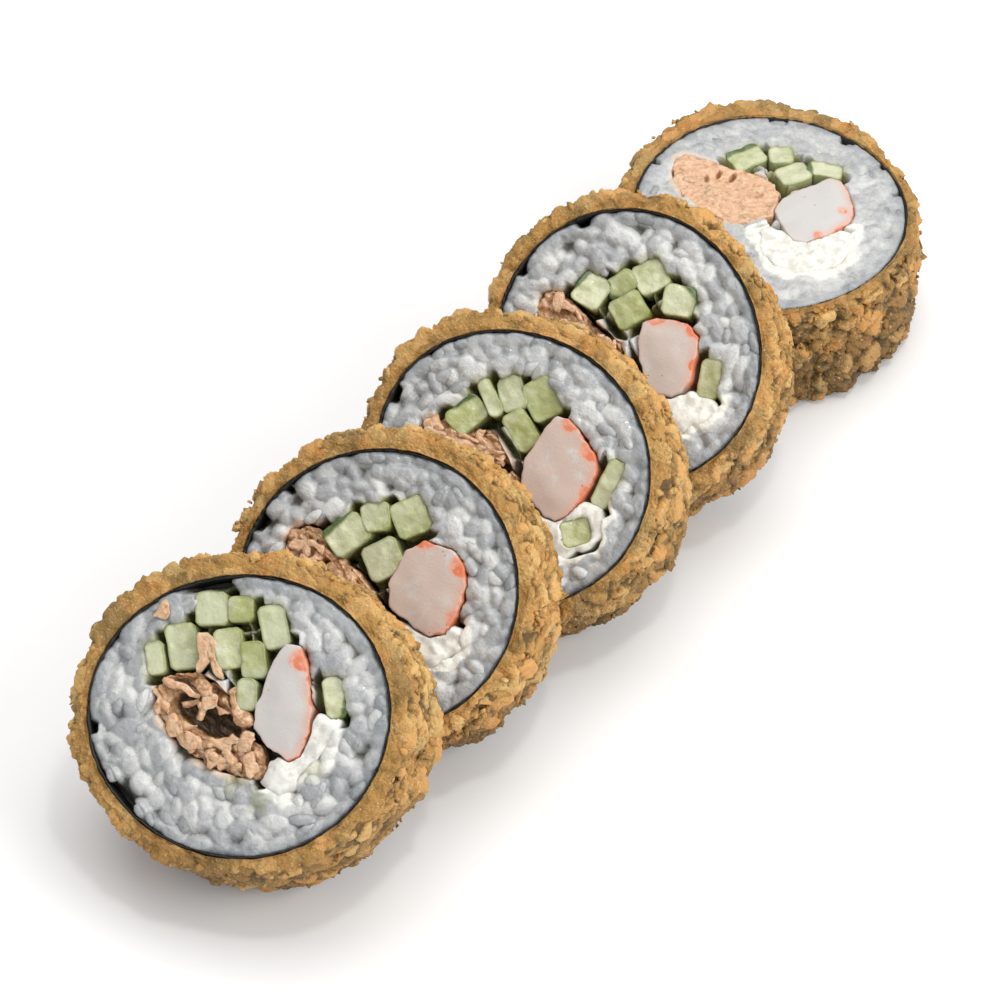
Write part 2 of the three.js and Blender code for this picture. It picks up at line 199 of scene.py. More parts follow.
# The angle and radius of flat places.
def toPolar(flat):
    return np.arctan2(flat[..., 1], flat[..., 0]), np.hypot(flat[..., 0], flat[..., 1])


# Flat places of a cut face, given one height.
def raised(flat, height=0):
    return np.concatenate([flat, np.full((*flat.shape[:-1], 1), height)], -1)


# How far places lie along a direction and across it.
def alongAcross(apart, turn):
    cos, sin = np.cos(turn), np.sin(turn)
    return apart[..., 0] * cos + apart[..., 1] * sin, apart[..., 1] * cos - apart[..., 0] * sin


# The angles of columns that stand evenly all round.
def allRound(columns):
    return np.arange(columns) / columns * fullTurn


# The turn between two angles, from minus half a turn to half a turn.
def turnBetween(angle, other):
    return (angle - other + math.pi) % fullTurn - math.pi


# Random numbers spread evenly between two limits.
def drawBetween(draw, limits, count):
    return limits[0] + np.ptp(limits) * draw.random(count)


# Random numbers from minus half a spread to half of it.
def drawAround(draw, spread, count):
    return (draw.random(count) - 0.5) * spread


# Quads of a grid whose columns close on themselves, and whose rows do too where it is a ring.
def gridQuads(rows, columns, ring=False):
    row, column = np.meshgrid(np.arange(rows if ring else rows - 1), np.arange(columns), indexing="ij")
    nextRow, nextColumn = (row + 1) % rows, (column + 1) % columns
    corners = [row * columns + column, nextRow * columns + column]
    corners += [nextRow * columns + nextColumn, row * columns + nextColumn]
    return np.stack(corners, -1).reshape(-1, 4)


# Triangles from a pole to the row of columns that starts at first; inward ones run the other way round.
def fan(pole, first, columns, inward):
    column = np.arange(columns)
    pair = [first + column, first + (column + 1) % columns]
    pair = pair[::-1] if inward else pair
    return np.stack([np.full(columns, pole), *pair], -1)


# A closed skin over rows of points between two poles.
def closedSkin(rows, poles):
    count, columns = rows.shape[:2]
    points = np.concatenate([rows.reshape(-1, 3), poles])
    last = count * columns
    caps = np.concatenate([fan(last, 0, columns, False), fan(last + 1, last - columns, columns, True)])
    return points, [gridQuads(count, columns), caps]


# Closed shapes of one build, each turned into its own frame and put at its place.
def copies(shapes, faces, frames, places):
    points = np.einsum("mkj,mij->mki", shapes, frames) + places[:, None]
    shift = (np.arange(len(places)) * points.shape[1])[:, None, None]
    return points, [(group[None] + shift).reshape(-1, group.shape[1]) for group in faces]


# Frames whose first axis lies at turn in the face and rises by tilt, rolled about itself.
def turnedFrames(turn, tilt, roll):
    first = np.stack([np.cos(turn) * np.cos(tilt), np.sin(turn) * np.cos(tilt), np.sin(tilt)], -1)
    side = np.stack([-np.sin(turn), np.cos(turn), np.zeros_like(turn)], -1)
    third = np.cross(first, side)
    cos, sin = np.cos(roll)[:, None], np.sin(roll)[:, None]
    return np.stack([first, side * cos + third * sin, third * cos - side * sin], -1)


# What lies on the front face, turned over to the back.
def turnedOver(disc, points):
    return points * np.array([1, 1, -1]) - np.array([0, 0, disc["thick"]])


# Six times the volume that a set of faces encloses, to tell an inside-out one.
def enclosed(points, faces):
    total = 0
    for group in faces:
        for corner in range(1, group.shape[1] - 1):
            first, second, third = (points[group[:, c]] for c in (0, corner, corner + 1))
            total += (first * np.cross(second, third)).sum()
    return total


markNames = ("tone", "dip", "inside", "stain", "juice")


# Joins shells into one mesh, in the row's own frame, with their marks as attributes for the materials. tone
# is a number of each grain or crumb, dip is 0 in a crack and 1 on top (the crust, rice and salmon paint shade
# where it is low), inside is the distance from an edge in millimetres, stain is a share of a second colour
# and juice of the cucumber's. Where a piece uses a mark for another number, its note says so. A mark that a
# shell leaves out is a half.
def addPiece(name, disc, shells, slot, nodes):
    points, loops, sizes, marks, shift = [], [], [], {mark: [] for mark in markNames}, 0
    for shell in shells:
        local, faces = shell["points"].reshape(-1, 3), shell["faces"]
        if enclosed(local, faces) < 0:
            faces = [group[:, ::-1] for group in faces]
        points.append(local)
        for group in faces:
            loops.append((group + shift).ravel())
            sizes.append(np.full(len(group), group.shape[1]))
        for mark in markNames:
            marks[mark].append(np.broadcast_to(shell.get(mark, 0.5), shell["points"].shape[:-1]).ravel())
        shift += len(local)
    placed = (disc["face"] + np.concatenate(points) @ disc["axes"]) * metre
    placed[:, 2] = np.maximum(placed[:, 2], 0)
    loops, sizes = np.concatenate(loops), np.concatenate(sizes)
    mesh = bpy.data.meshes.new(name)
    mesh.vertices.add(len(placed))
    mesh.vertices.foreach_set("co", placed.astype(np.float32).ravel())
    mesh.loops.add(len(loops))
    mesh.loops.foreach_set("vertex_index", loops.astype(np.int32))
    mesh.polygons.add(len(sizes))
    mesh.polygons.foreach_set("loop_start", np.concatenate([[0], np.cumsum(sizes)[:-1]]).astype(np.int32))
    mesh.polygons.foreach_set("use_smooth", np.ones(len(sizes), bool))
    mesh.update(calc_edges=True)
    for mark, lists in marks.items():
        attribute = mesh.attributes.new(mark, "FLOAT", "POINT")
        attribute.data.foreach_set("value", np.concatenate(lists).astype(np.float32))
    mesh.materials.append(materials[slot])
    piece = bpy.data.objects.new(f"{disc['name']}_{name}", mesh)
    bpy.context.scene.collection.objects.link(piece)
    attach(piece, "root")
    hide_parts(*nodes)
    return int((sizes - 2).sum())


# The merged points of a solid and the corner numbers of its triangles.
def solidOf(node):
    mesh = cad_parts[node].data
    points = np.empty(len(mesh.vertices) * 3)
    mesh.vertices.foreach_get("co", points)
    mesh.calc_loop_triangles()
    corners = np.empty(len(mesh.loop_triangles) * 3, np.int32)
    mesh.loop_triangles.foreach_get("vertices", corners)
    merged, places = np.unique((points.reshape(-1, 3) / metre).round(4), axis=0, return_inverse=True)
    return merged, places.ravel()[corners].reshape(-1, 3)


# The closed outline round a filling's flat back: the edges that only one of its triangles has, end to end.
def backOutline(disc, node):
    nearlyFlat = 0.99
    points, triangles = solidOf(node)
    local = (points - disc["face"]) @ disc["axes"].T
    corners = local[triangles]
    normal = np.cross(corners[:, 1] - corners[:, 0], corners[:, 2] - corners[:, 0])
    back = triangles[normal[:, 2] < -nearlyFlat * np.linalg.norm(normal, axis=1)]
    edges = np.concatenate([back[:, [0, 1]], back[:, [1, 2]], back[:, [2, 0]]])
    once = ~np.isin(edges[:, 0] * len(points) + edges[:, 1], edges[:, 1] * len(points) + edges[:, 0])
    following = dict(edges[once].tolist())
    loop = [edges[once][0, 0]]
    while following[loop[-1]] != loop[0]:
        loop.append(following[loop[-1]])
    return local[loop[::-1], :2]


# What the solids of a slice say: the middle of its cut face, its axes (right, up and out of the face), its
# thickness, the seaweed's radius all round, the crags of its crust and the outlines of its fillings.
def readSlice(values):
    seaweedSetBack, cragStart = 0.3, 1.2
    name = values["name"]
    ring, _ = solidOf(name + "_nori")
    centre = ring.mean(0)
    out = np.linalg.eigh(np.cov((ring - centre).T))[1][:, 0]
    out = out * np.sign(out[2])
    swing = math.radians(values["swing"])
    right = np.array([math.cos(swing), math.sin(swing), 0])
    right = right - out * (right @ out)
    right = right / np.linalg.norm(right)
    disc = {**values, "axes": np.array([right, np.cross(out, right), out])}
    local = (ring - centre) @ disc["axes"].T
    disc["thick"] = 2 * (local[:, 2].max() + seaweedSetBack)
    disc["face"] = centre + out * disc["thick"] / 2
    rimAngle, rimRadius = toPolar(local[local[:, 2] > 0])
    rimAngle = rimAngle % fullTurn
    rimAngle = np.where(rimAngle > fullTurn - 1e-4, 0, rimAngle)
    order = np.argsort(rimAngle)
    means = (part[order].reshape(-1, 2).mean(1) for part in (rimAngle, rimRadius))
    disc["rimAngles"], disc["rimRadii"] = means
    crust = (solidOf(name + "_crust")[0] - disc["face"]) @ disc["axes"].T
    angle, radius = toPolar(crust)
    outer = radius > seaweedRadius(disc, angle) + cragStart
    disc["crags"] = angle[outer], crust[outer, 2], radius[outer]
    fillings = [node for node in sorted(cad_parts)
                if node.startswith(name) and not node.endswith(("_crust", "_nori", "_rice"))]
    disc["fillings"] = {node: backOutline(disc, node) for node in fillings}
    return disc


# The outlines of a slice's fillings of one kind.
def outlinesOf(disc, kind):
    return [outline for node, outline in disc["fillings"].items() if kind in node]


# The distance of flat places from every filling.
def fillingDistances(disc, flat):
    return np.array([outlineDistance(flat, outline) for outline in disc["fillings"].values()])


def seaweedRadius(disc, angle):
    return np.interp(angle % fullTurn, disc["rimAngles"], disc["rimRadii"], period=fullTurn)


# The crust's radius at an angle and height: the mean of the solid's crags near there, each weighted by a bell
# curve of its distance along the surface.
def craggedRadius(disc, angle, height):
    reach, crustRadius = 2.0, 28
    cragAngle, cragHeight, cragRadius = disc["crags"]
    apart = turnBetween(angle[:, None], cragAngle) * crustRadius
    weight = np.exp(-(apart**2 + (height[:, None] - cragHeight) ** 2) / (2 * reach**2))
    return (weight * cragRadius).sum(1) / weight.sum(1)


# How deep a place lies in the notches between the rice and the seaweed, from 0 to 1.
def notchAt(disc, angle, inside):
    deepest = np.zeros_like(angle)
    for direction, width in disc["notches"]:
        across = np.abs(turnBetween(angle, math.radians(direction))) * rollRadius / (width / 2)
        deepest = np.maximum(deepest, ease(1.3, 0.5, across) * ease(1.9, 0.6, inside))
    return deepest


print("stage: materials")


# A socket that can be added, subtracted and multiplied, each giving a Math node's result.
class Wire:
    def __init__(self, finish, socket):
        self.finish, self.socket = finish, socket

    def reckon(self, operation, first, second):
        return self.finish.add("ShaderNodeMath", {"operation": operation}, {0: first, 1: second})

    def __add__(self, other):
        return self.reckon("ADD", self, other)

    def __sub__(self, other):
        return self.reckon("SUBTRACT", self, other)

    def __mul__(self, other):
        return self.reckon("MULTIPLY", self, other)

    def __radd__(self, other):
        return self.reckon("ADD", other, self)

    def __rsub__(self, other):
        return self.reckon("SUBTRACT", other, self)

    def __rmul__(self, other):
        return self.reckon("MULTIPLY", other, self)


# A colour as it looks on a screen, made linear for the shader.
def paint(red, green, blue):
    def linear(share):
        return share / 12.92 if share <= 0.04045 else ((share + 0.055) / 1.055) ** 2.4
    return (linear(red), linear(green), linear(blue), 1)


# A material and the nodes that make it.
class Finish:
    def __init__(self, name):
        self.material = bpy.data.materials.new(name)
        self.material.use_nodes = True
        self.tree = self.material.node_tree
        self.tree.nodes.clear()
        self.coordinates = self.add("ShaderNodeTexCoord", output="Object")

    def add(self, kind, settings={}, inputs={}, output=0):
        node = self.tree.nodes.new(kind)
        for key, value in settings.items():
            setattr(node, key, value)
        for key, value in inputs.items():
            if isinstance(value, Wire):
                self.tree.links.new(value.socket, node.inputs[key])
            else:
                node.inputs[key].default_value = value
        return Wire(self, node.outputs[output]) if len(node.outputs) else None

    def marks(self, *names):
        return [self.add("ShaderNodeAttribute", {"attribute_name": name}, output="Fac") for name in names]

    # Noise with features of a size in millimetres, from 0 to 1.
    def noise(self, size, detail=2, roughness=0.55):
        inputs = {"Vector": self.coordinates, "Scale": 1 / (size * metre)}
        inputs = {**inputs, "Detail": detail, "Roughness": roughness}
        return self.add("ShaderNodeTexNoise", {}, inputs)

    # Fibres: noise over two marks in millimetres, across the fibres and along them, drawn out along them.
    def fibres(self, across, along, width, length):
        place = self.add("ShaderNodeCombineXYZ", {}, {"X": across * (1 / width), "Y": along * (1 / length)})
        inputs = {"Vector": place, "Scale": 1.0, "Detail": 3, "Roughness": 0.6}
        return self.add("ShaderNodeTexNoise", {}, inputs)

    # How high a place lies above the table, in metres.
    def height(self):
        return self.add("ShaderNodeSeparateXYZ", {}, {"Vector": self.coordinates}, output="Z")

    # Distance from the middle of cells of a size in millimetres.
    def cells(self, size):
        inputs = {"Vector": self.coordinates, "Scale": 1 / (size * metre)}
        return self.add("ShaderNodeTexVoronoi", {}, inputs)

    # 0 below low and 1 above high.
    def between(self, value, low, high):
        inputs = {"Value": value, "From Min": low, "From Max": high}
        return self.add("ShaderNodeMapRange", {"interpolation_type": "SMOOTHSTEP"}, inputs)

    # A colour with others laid over it, each by its share.
    def layers(self, colour, *over):
        for share, other in over:
            inputs = {0: share, 6: colour, 7: other}
            colour = self.add("ShaderNodeMix", {"data_type": "RGBA"}, inputs, output=2)
        return colour

    def bump(self, height, depth, strength):
        inputs = {"Height": height, "Distance": depth * metre, "Strength": strength}
        return self.add("ShaderNodeBump", {}, inputs)

    def close(self, inputs):
        shader = self.add("ShaderNodeBsdfPrincipled", {}, inputs)
        self.add("ShaderNodeOutputMaterial", {}, {"Surface": shader})
        return self.material


# Light that goes in and comes out again nearby: how much of it, how far each colour goes as a share of a
# depth, and that depth in metres.
def scatter(weight, radius, depth):
    return {"Subsurface Weight": weight, "Subsurface Radius": radius, "Subsurface Scale": depth}


crustLook = {
    "gold": paint(0.72, 0.54, 0.285), "pale": paint(0.865, 0.735, 0.48), "orange": paint(0.78, 0.48, 0.19),
    "brown": paint(0.47, 0.355, 0.17), "shade": paint(0.26, 0.205, 0.095), "lowBrown": paint(0.40, 0.285, 0.11),
    "olive": paint(0.44, 0.385, 0.24), "sand": paint(0.93, 0.85, 0.67),
}


# Fried crumb: gold with patches of other tones, darker and glossier towards the bottom, pale on flaky crumbs
# and with painted shade in the cracks. stain is 1 on the cut faces, which are calmer and browned by painted
# shade.
def crustMaterial(look):
    finish = Finish("friedCrumb")
    tone, dip, cut = finish.marks("tone", "dip", "stain")
    drift, speck = finish.noise(6, 3), finish.noise(0.6, 3, 0.7)
    warm = finish.between(drift + (tone - 0.5) * 0.3, 0.5, 0.72)
    dull = finish.between(finish.noise(9, 2) + (speck - 0.5) * 0.3, 0.5, 0.66)
    done = finish.between(finish.noise(2.3, 3) - speck * 0.25, 0.36, 0.52)
    # Darker and glossier towards the bottom.
    low = 1 - finish.between(finish.height() + (drift - 0.5) * 0.024, 0.003, 0.027)
    flaky = finish.between(tone * 0.5 + speck * 0.5, 0.52, 0.7)
    glowing = finish.between(tone, 0.88, 0.94)
    sandy = finish.between(finish.noise(0.45, 3, 0.8), 0.6, 0.68)
    # Painted shade: the shade colour in the cracks between crumbs.
    depth = 1 - finish.between(dip, 0.08, 0.55)
    colour = finish.layers(
        look["gold"], (warm * 0.6, look["orange"]), (dull * 0.55, look["olive"]), (done * 0.6, look["brown"]),
        # The brown laid over the cut faces is painted shade.
        (low * 0.85, look["lowBrown"]), (cut * 0.25, look["brown"]),
        (flaky * (1 - low * 0.5) * (1 - cut * 0.45) * 0.6, look["pale"]),
        (glowing * (1 - cut * 0.7) * 0.4, look["orange"]), (sandy * 0.6, look["sand"]),
        (depth * (1 - cut * 0.55) * 0.8, look["shade"]),
    )
    return finish.close({
        "Base Color": colour,
        "Roughness": finish.between(speck, 0.2, 0.8) * 0.3 + 0.5 - low * 0.18,
        "IOR": 1.42,
        "Normal": finish.bump(finish.cells(0.45) * -1 + speck * 0.8, 0.18, 0.9),
    })


seaweedLook = {"black": paint(0.05, 0.05, 0.04), "green": paint(0.10, 0.105, 0.07)}


def seaweedMaterial(look):
    finish = Finish("seaweed")
    weave = finish.noise(0.6, 4, 0.7)
    return finish.close({
        "Base Color": finish.layers(look["black"], (finish.between(weave, 0.45, 0.7), look["green"])),
        "Roughness": finish.between(weave, 0.2, 0.8) * 0.3 + 0.45,
        "Normal": finish.bump(weave, 0.12, 0.8),
    })


riceLook = {
    "white": paint(0.79, 0.79, 0.78), "grey": paint(0.62, 0.625, 0.63), "crack": paint(0.34, 0.33, 0.26),
    "cream": paint(0.90, 0.895, 0.86), "warm": paint(0.86, 0.755, 0.65), "juice": paint(0.56, 0.565, 0.33),
    "rim": paint(0.51, 0.53, 0.545),
}


# Cooked rice: white to grey by grain, with painted shade along the seaweed, creamy beside the cream cheese,
# warm beside the salmon and the crab stick, with painted shade in the deepest places and green with juice.
def riceMaterial(look):
    finish = Finish("cookedRice")
    tone, dip, inside, stain, juice = finish.marks("tone", "dip", "inside", "stain", "juice")
    cloud, wet = finish.noise(1.4, 3), finish.noise(0.9, 2)
    colour = finish.layers(
        look["grey"], (finish.between(tone * 0.45 + cloud * 0.55, 0.3, 0.7), look["white"]),
        # Painted shade along the seaweed.
        ((1 - finish.between(inside + cloud * 1.5, 0.2, 5)) * 0.75, look["rim"]),
        (finish.between(stain + (cloud - 0.5) * 0.35, 0.55, 0.85), look["cream"]),
        ((1 - finish.between(stain + (cloud - 0.5) * 0.4, 0.1, 0.42)) * 0.6, look["warm"]),
        # Painted shade in the deep places and the cracks between grains.
        ((1 - finish.between(dip, 0, 0.55)) * 0.8, look["crack"]),
        (finish.between(juice + (cloud - 0.5) * 0.4, 0, 0.8) * 0.85, look["juice"]),
    )
    return finish.close({
        "Base Color": colour,
        "Roughness": finish.between(wet, 0.3, 0.7) * 0.25 + 0.2,
        **scatter(0.3, (1.0, 1.0, 1.0), 0.0012),
        "Coat Weight": 0.45,
        "Coat Roughness": 0.09,
        "IOR": 1.4,
        "Normal": finish.bump(wet + finish.noise(0.35, 2) * 0.4, 0.3, 0.9),
    })


salmonLook = {
    "pink": paint(0.82, 0.645, 0.495), "pale": paint(0.90, 0.755, 0.625), "tan": paint(0.67, 0.495, 0.31),
    "deep": paint(0.56, 0.40, 0.24), "hollow": paint(0.24, 0.17, 0.08),
}


# Cooked salmon, with painted shade in its hollows and deep places. inside and stain say how far a place lies
# across its fibres and along them.
def salmonMaterial(look):
    finish = Finish("salmonFlake")
    tone, dip, across, along = finish.marks("tone", "dip", "inside", "stain")
    fibre, cloud, fleck = finish.fibres(across, along, 0.35, 2), finish.noise(1.8, 3), finish.noise(0.9, 3)
    colour = finish.layers(
        look["tan"], (finish.between(tone * 0.35 + cloud * 0.65, 0.4, 0.56), look["pink"]),
        (finish.between(fibre * 0.35 + fleck * 0.65, 0.48, 0.62) * 0.8, look["pale"]),
        ((1 - finish.between(fleck * 0.7 + fibre * 0.3, 0.32, 0.46)) * 0.6, look["deep"]),
        # Painted shade in the hollows and deep places.
        ((1 - finish.between(dip, 0.05, 0.5)) * 0.92, look["hollow"]),
    )
    return finish.close({
        "Base Color": colour,
        "Roughness": finish.between(fleck, 0.3, 0.7) * 0.25 + 0.24,
        **scatter(0.2, (1.0, 0.5, 0.35), 0.0014),
        "Coat Weight": 0.4,
        "Coat Roughness": 0.12,
        "Normal": finish.bump(fibre * 0.35 + fleck, 0.5, 0.9),
    })


cucumberLook = {
    "flesh": paint(0.63, 0.65, 0.41), "pale": paint(0.755, 0.765, 0.63), "edge": paint(0.50, 0.53, 0.29),
    "peel": paint(0.28, 0.36, 0.12),
}


# Cut cucumber: paler towards one side of a stick, darker along its edges, and dark green where it has peel.
def cucumberMaterial(look):
    finish = Finish("cucumberFlesh")
    tone, inside, side, peel = finish.marks("tone", "inside", "dip", "stain")
    cloud = finish.noise(1.7, 3)
    colour = finish.layers(
        look["flesh"], (finish.between(cloud * 0.7 + tone * 0.5 + side * 0.3, 0.45, 0.95), look["pale"]),
        ((1 - finish.between(inside + cloud * 0.5, 0.3, 0.8)) * 0.7, look["edge"]), (peel, look["peel"]),
    )
    return finish.close({
        "Base Color": colour,
        "Roughness": finish.between(finish.noise(0.7, 2), 0.3, 0.7) * 0.2 + 0.2,
        **scatter(0.3, (0.9, 1.0, 0.6), 0.0015),
        "Coat Weight": 0.45,
        "Coat Roughness": 0.1,
        "Normal": finish.bump(finish.noise(0.8, 3), 0.24, 0.8),
    })


crabLook = {
    "white": paint(0.76, 0.755, 0.745), "pink": paint(0.755, 0.68, 0.635), "rose": paint(0.84, 0.60, 0.50),
    "red": paint(0.82, 0.41, 0.22), "speck": paint(0.35, 0.28, 0.25),
}


# Crab stick: white to pink, with a few dark specks. Where stain, its skin, is strong, it has a rosy border
# and a thin broken red rim.
def crabMaterial(look):
    finish = Finish("crabStick")
    inside, skin, pinkness = finish.marks("inside", "stain", "tone")
    cloud, strand = finish.noise(3.2, 3), finish.noise(0.7, 3, 0.7)
    blush = skin * (1 - finish.between(inside + cloud * 1.4, 0.4, 2.8))
    rim = skin * (1 - finish.between(inside + finish.noise(0.9, 3) * 1.3, 0.6, 1.15))
    colour = finish.layers(
        look["white"], (finish.between(cloud + strand * 0.3, 0.35, 0.65) * pinkness, look["pink"]),
        (blush * 0.65, look["rose"]),
        (finish.between(rim, 0.2, 0.8) * finish.between(cloud, 0.3, 0.6) * 0.85, look["red"]),
        ((1 - finish.between(finish.cells(2.6), 0.03, 0.07)) * 0.8, look["speck"]),
    )
    return finish.close({
        "Base Color": colour,
        "Roughness": finish.between(cloud, 0.3, 0.7) * 0.15 + 0.38,
        **scatter(0.2, (1.0, 0.7, 0.6), 0.0012),
        "Normal": finish.bump(finish.noise(0.5, 3), 0.08, 0.7),
    })


creamLook = {"white": paint(0.90, 0.895, 0.865), "shade": paint(0.80, 0.79, 0.75)}


def creamMaterial(look):
    finish = Finish("creamCheese")
    smear = finish.noise(1.8, 3)
    return finish.close({
        "Base Color": finish.layers(look["shade"], (finish.between(smear, 0.35, 0.6), look["white"])),
        "Roughness": finish.between(smear, 0.3, 0.7) * 0.2 + 0.28,
        **scatter(0.15, (1.0, 0.95, 0.85), 0.0015),
        "Normal": finish.bump(smear, 0.3, 0.7),
    })


materials = {
    "crust": crustMaterial(crustLook),
    "nori": seaweedMaterial(seaweedLook),
    "rice": riceMaterial(riceLook),
    "salmon": salmonMaterial(salmonLook),
    "cucumber": cucumberMaterial(cucumberLook),
    "crab_stick": crabMaterial(crabLook),
    "cream_cheese": creamMaterial(creamLook),
}

seaweedValues = {
    "columns": 480, "frontRows": 3, "wallRows": 9, "thickness": 0.32, "setBack": 0.2,
    "wave": 0.12, "waveSize": 3.5, "ripple": 0.1, "rippleSize": 1.1, "fray": 0.6, "fraySize": 1.3,
}


# The seaweed: a thin ring whose radius waves along the roll and round it, and whose cut edges are frayed, so
# the edge's depth is the set-back plus the fray times noise.
def seaweedShell(disc, values):
    seed = disc["seed"]
    angle = allRound(values["columns"])
    fringe = np.linspace(-1, 1, values["frontRows"])
    depth = np.linspace(0, 1, values["wallRows"])[1:-1]
    across = np.concatenate([fringe, np.ones_like(depth), -fringe, -np.ones_like(depth)])
    along = np.concatenate([np.zeros_like(fringe), depth, np.ones_like(fringe), depth[::-1]])
    middle = seaweedRadius(disc, angle)
    flat = polar(middle, angle, 0)
    front, back = (
        values["setBack"] + values["fray"] * np.abs(softNoise(flat, values["fraySize"], seed + side))
        for side in (5, 6))
    height = -front - along[:, None] * (disc["thick"] - front - back)
    place = flat + height[..., None] * np.array([0, 0, 1])
    wave = values["wave"] * softNoise(place, values["waveSize"], seed)
    wave = wave + values["ripple"] * softNoise(place, values["rippleSize"], seed + 1)
    radius = middle + across[:, None] * values["thickness"] / 2 + wave
    return {"points": polar(radius, angle, height), "faces": [gridQuads(len(across), len(angle), ring=True)]}


crustValues = {
    "columns": 500, "frontRows": 13, "edgeRows": 5, "wallRows": 74, "backRows": 9, "innerRows": 3,
    "edgeRadius": 1.2, "clearance": 0.2, "inset": 0.09,
    "swell": 0.7, "swellSize": 7, "crumb": 3.7, "crumbHeight": 1.6, "grit": 1.3, "gritHeight": 0.6,
    "sand": 0.8, "sandHeight": 0.16, "faceRelief": 0.42, "reliefSize": 1.9, "wander": 0.18, "wanderSize": 1.6,
    "cover": 0.75, "coverChange": 0.35, "coverSize": 11,
    "looseCrumbs": 460, "looseSize": (0.4, 1.5), "looseShape": (1.2, 0.85, 0.55), "looseLumps": 0.55,
    "looseFrom": 0.5, "looseKept": 1.4, "looseOut": 0.1, "looseSunk": 0.45, "looseColumns": 7, "looseRows": 3,
}


# The fried crust: a ring whose section is a rounded rectangle from the seaweed out to the solid's crags. A
# slow swell, crumbs of two sizes, thicker in some regions, and sand move the outside along the radius, and
# the cut faces a little along the roll. Along the section, share runs from the seaweed out and back, swell is
# how much of the edge's radius is added, tip how far a place faces along the roll, and cut is 1 on the cut
# faces. inside counts from the seaweed, and stain is cut.
def crustShell(disc, values):
    radius, thick, seed = values["edgeRadius"], disc["thick"], disc["seed"]
    angle = allRound(values["columns"])
    front = np.linspace(0, 1, values["frontRows"])
    corner = np.linspace(0, math.pi / 2, values["edgeRows"] + 2)[1:-1]
    wall = np.linspace(0, 1, values["wallRows"])
    back = np.linspace(1, 0, values["backRows"])
    inner = np.linspace(1, 0, values["innerRows"] + 2)[1:-1]
    sine, cosine, flatCorner = np.sin(corner), np.cos(corner), np.ones_like(corner)
    share = np.concatenate([front, flatCorner, 0 * wall + 1, flatCorner, back, 0 * inner])
    swell = np.concatenate([0 * front, sine, 0 * wall + 1, cosine, 0 * back, 0 * inner])[:, None]
    height = np.concatenate([
        0 * front, radius * (cosine - 1), -radius - wall * (thick - 2 * radius),
        radius - thick - radius * sine, 0 * back - thick, -thick * inner,
    ])
    tip = np.concatenate([0 * front + 1, cosine, 0 * wall, -sine, 0 * back - 1, 0 * inner])[:, None]
    cut = np.concatenate([0 * front + 1, cosine, 0 * wall, sine, 0 * back + 1, 0 * inner + 1])[:, None]
    start = seaweedRadius(disc, angle) + values["clearance"]
    wander = softNoise(polar(start, angle, 0), values["wanderSize"], seed + 33)
    start = start + values["wander"] * (0.5 + 0.5 * wander)
    craggy = np.stack([craggedRadius(disc, angle, np.full_like(angle, level)) for level in height])
    count, share, height = len(share), share[:, None], height[:, None]
    span = craggy - start - radius
    base = start + share * span + swell * radius
    place = polar(base, angle, height)
    crumb, tone = crumbNoise(place, values["crumb"], seed)
    grit, _ = crumbNoise(place, values["grit"], seed + 9)
    sand = softNoise(place, values["sand"], seed + 17) * values["sandHeight"]
    cover = values["cover"] + values["coverChange"] * softNoise(place, values["coverSize"], seed + 25)
    size = values["swellSize"]
    slow = softNoise(place, size, seed + 27) + 0.5 * softNoise(place, size / 2, seed + 29)
    rough = values["crumbHeight"] * (crumb - 0.3) + values["gritHeight"] * (grit - 0.3)
    lumps = values["swell"] * slow + cover * rough + sand
    outward = share**3 * lumps * (0.45 + 0.55 * swell)
    relief = softNoise(place, values["reliefSize"], seed + 31) + 0.7 * (grit - 0.5) - 0.6
    along = cut * (values["faceRelief"] * relief + 0.8 * sand) + (1 - cut) * 0.35 * (lumps - 0.8)
    lifted = np.clip(height + tip * (along - values["inset"]) * ease(0, 0.06, share), -thick, 0)
    return {
        "points": polar(base + outward, angle, lifted), "faces": [gridQuads(count, len(angle), ring=True)],
        # dip is low between the crumbs, where the material paints shade.
        "tone": tone, "dip": np.where(cut > 0.5, 0.55 + 0.3 * grit, 0.15 + 0.6 * crumb + 0.5 * grit),
        "inside": np.clip(share * span, 0, 9), "stain": cut,
    }


# Rings of a ball about its first axis, pole to pole, fuller towards the poles where fullness is below one.
def ballRings(columns, rows, fullness=1):
    around = allRound(columns)
    down = np.linspace(0, math.pi, rows + 2)[1:-1, None]
    ring = np.sin(down) ** fullness
    return np.stack(np.broadcast_arrays(np.cos(down), ring * np.cos(around), ring * np.sin(around)), -1)


# Loose crumbs on the outside: small closed lumps, half sunk in the crust, each an oval pushed in and out by
# noise at its own place.
def looseCrumbs(disc, values):
    draw = np.random.default_rng(disc["seed"])
    count = values["looseCrumbs"]
    rings = ballRings(values["looseColumns"], values["looseRows"])[..., [1, 2, 0]]
    shape, faces = closedSkin(rings, np.array([[0, 0, 1.0], [0, 0, -1.0]]))
    low, high = values["looseSize"]
    size = low + (high - low) * draw.random((count, 1, 1)) ** 3
    stretch = np.array(values["looseShape"]) * (0.7 + 0.6 * draw.random((count, 1, 3)))
    own = np.arange(count)[:, None, None] * 7.3
    bumps = softNoise(shape[None] * 1.7 + own, 1, disc["seed"])[..., None]
    lumps = shape * size * stretch * (1 + values["looseLumps"] * bumps)
    angle = draw.random(count) * fullTurn
    height = -values["looseFrom"] - draw.random(count) * (disc["thick"] - values["looseKept"])
    radius = craggedRadius(disc, angle, height) + values["looseOut"] - values["looseSunk"] * size[:, 0, 0]
    turn, tilt, roll = (draw.random(count) * part for part in (fullTurn, math.pi, fullTurn))
    points, faces = copies(lumps, faces, turnedFrames(turn, tilt, roll), polar(radius, angle, height))
    points[..., 2] = np.clip(points[..., 2], -disc["thick"], 0)
    tone = draw.random((count, 1))
    return {"points": points, "faces": faces, "tone": tone, "dip": 0.75, "inside": 4, "stain": 0}


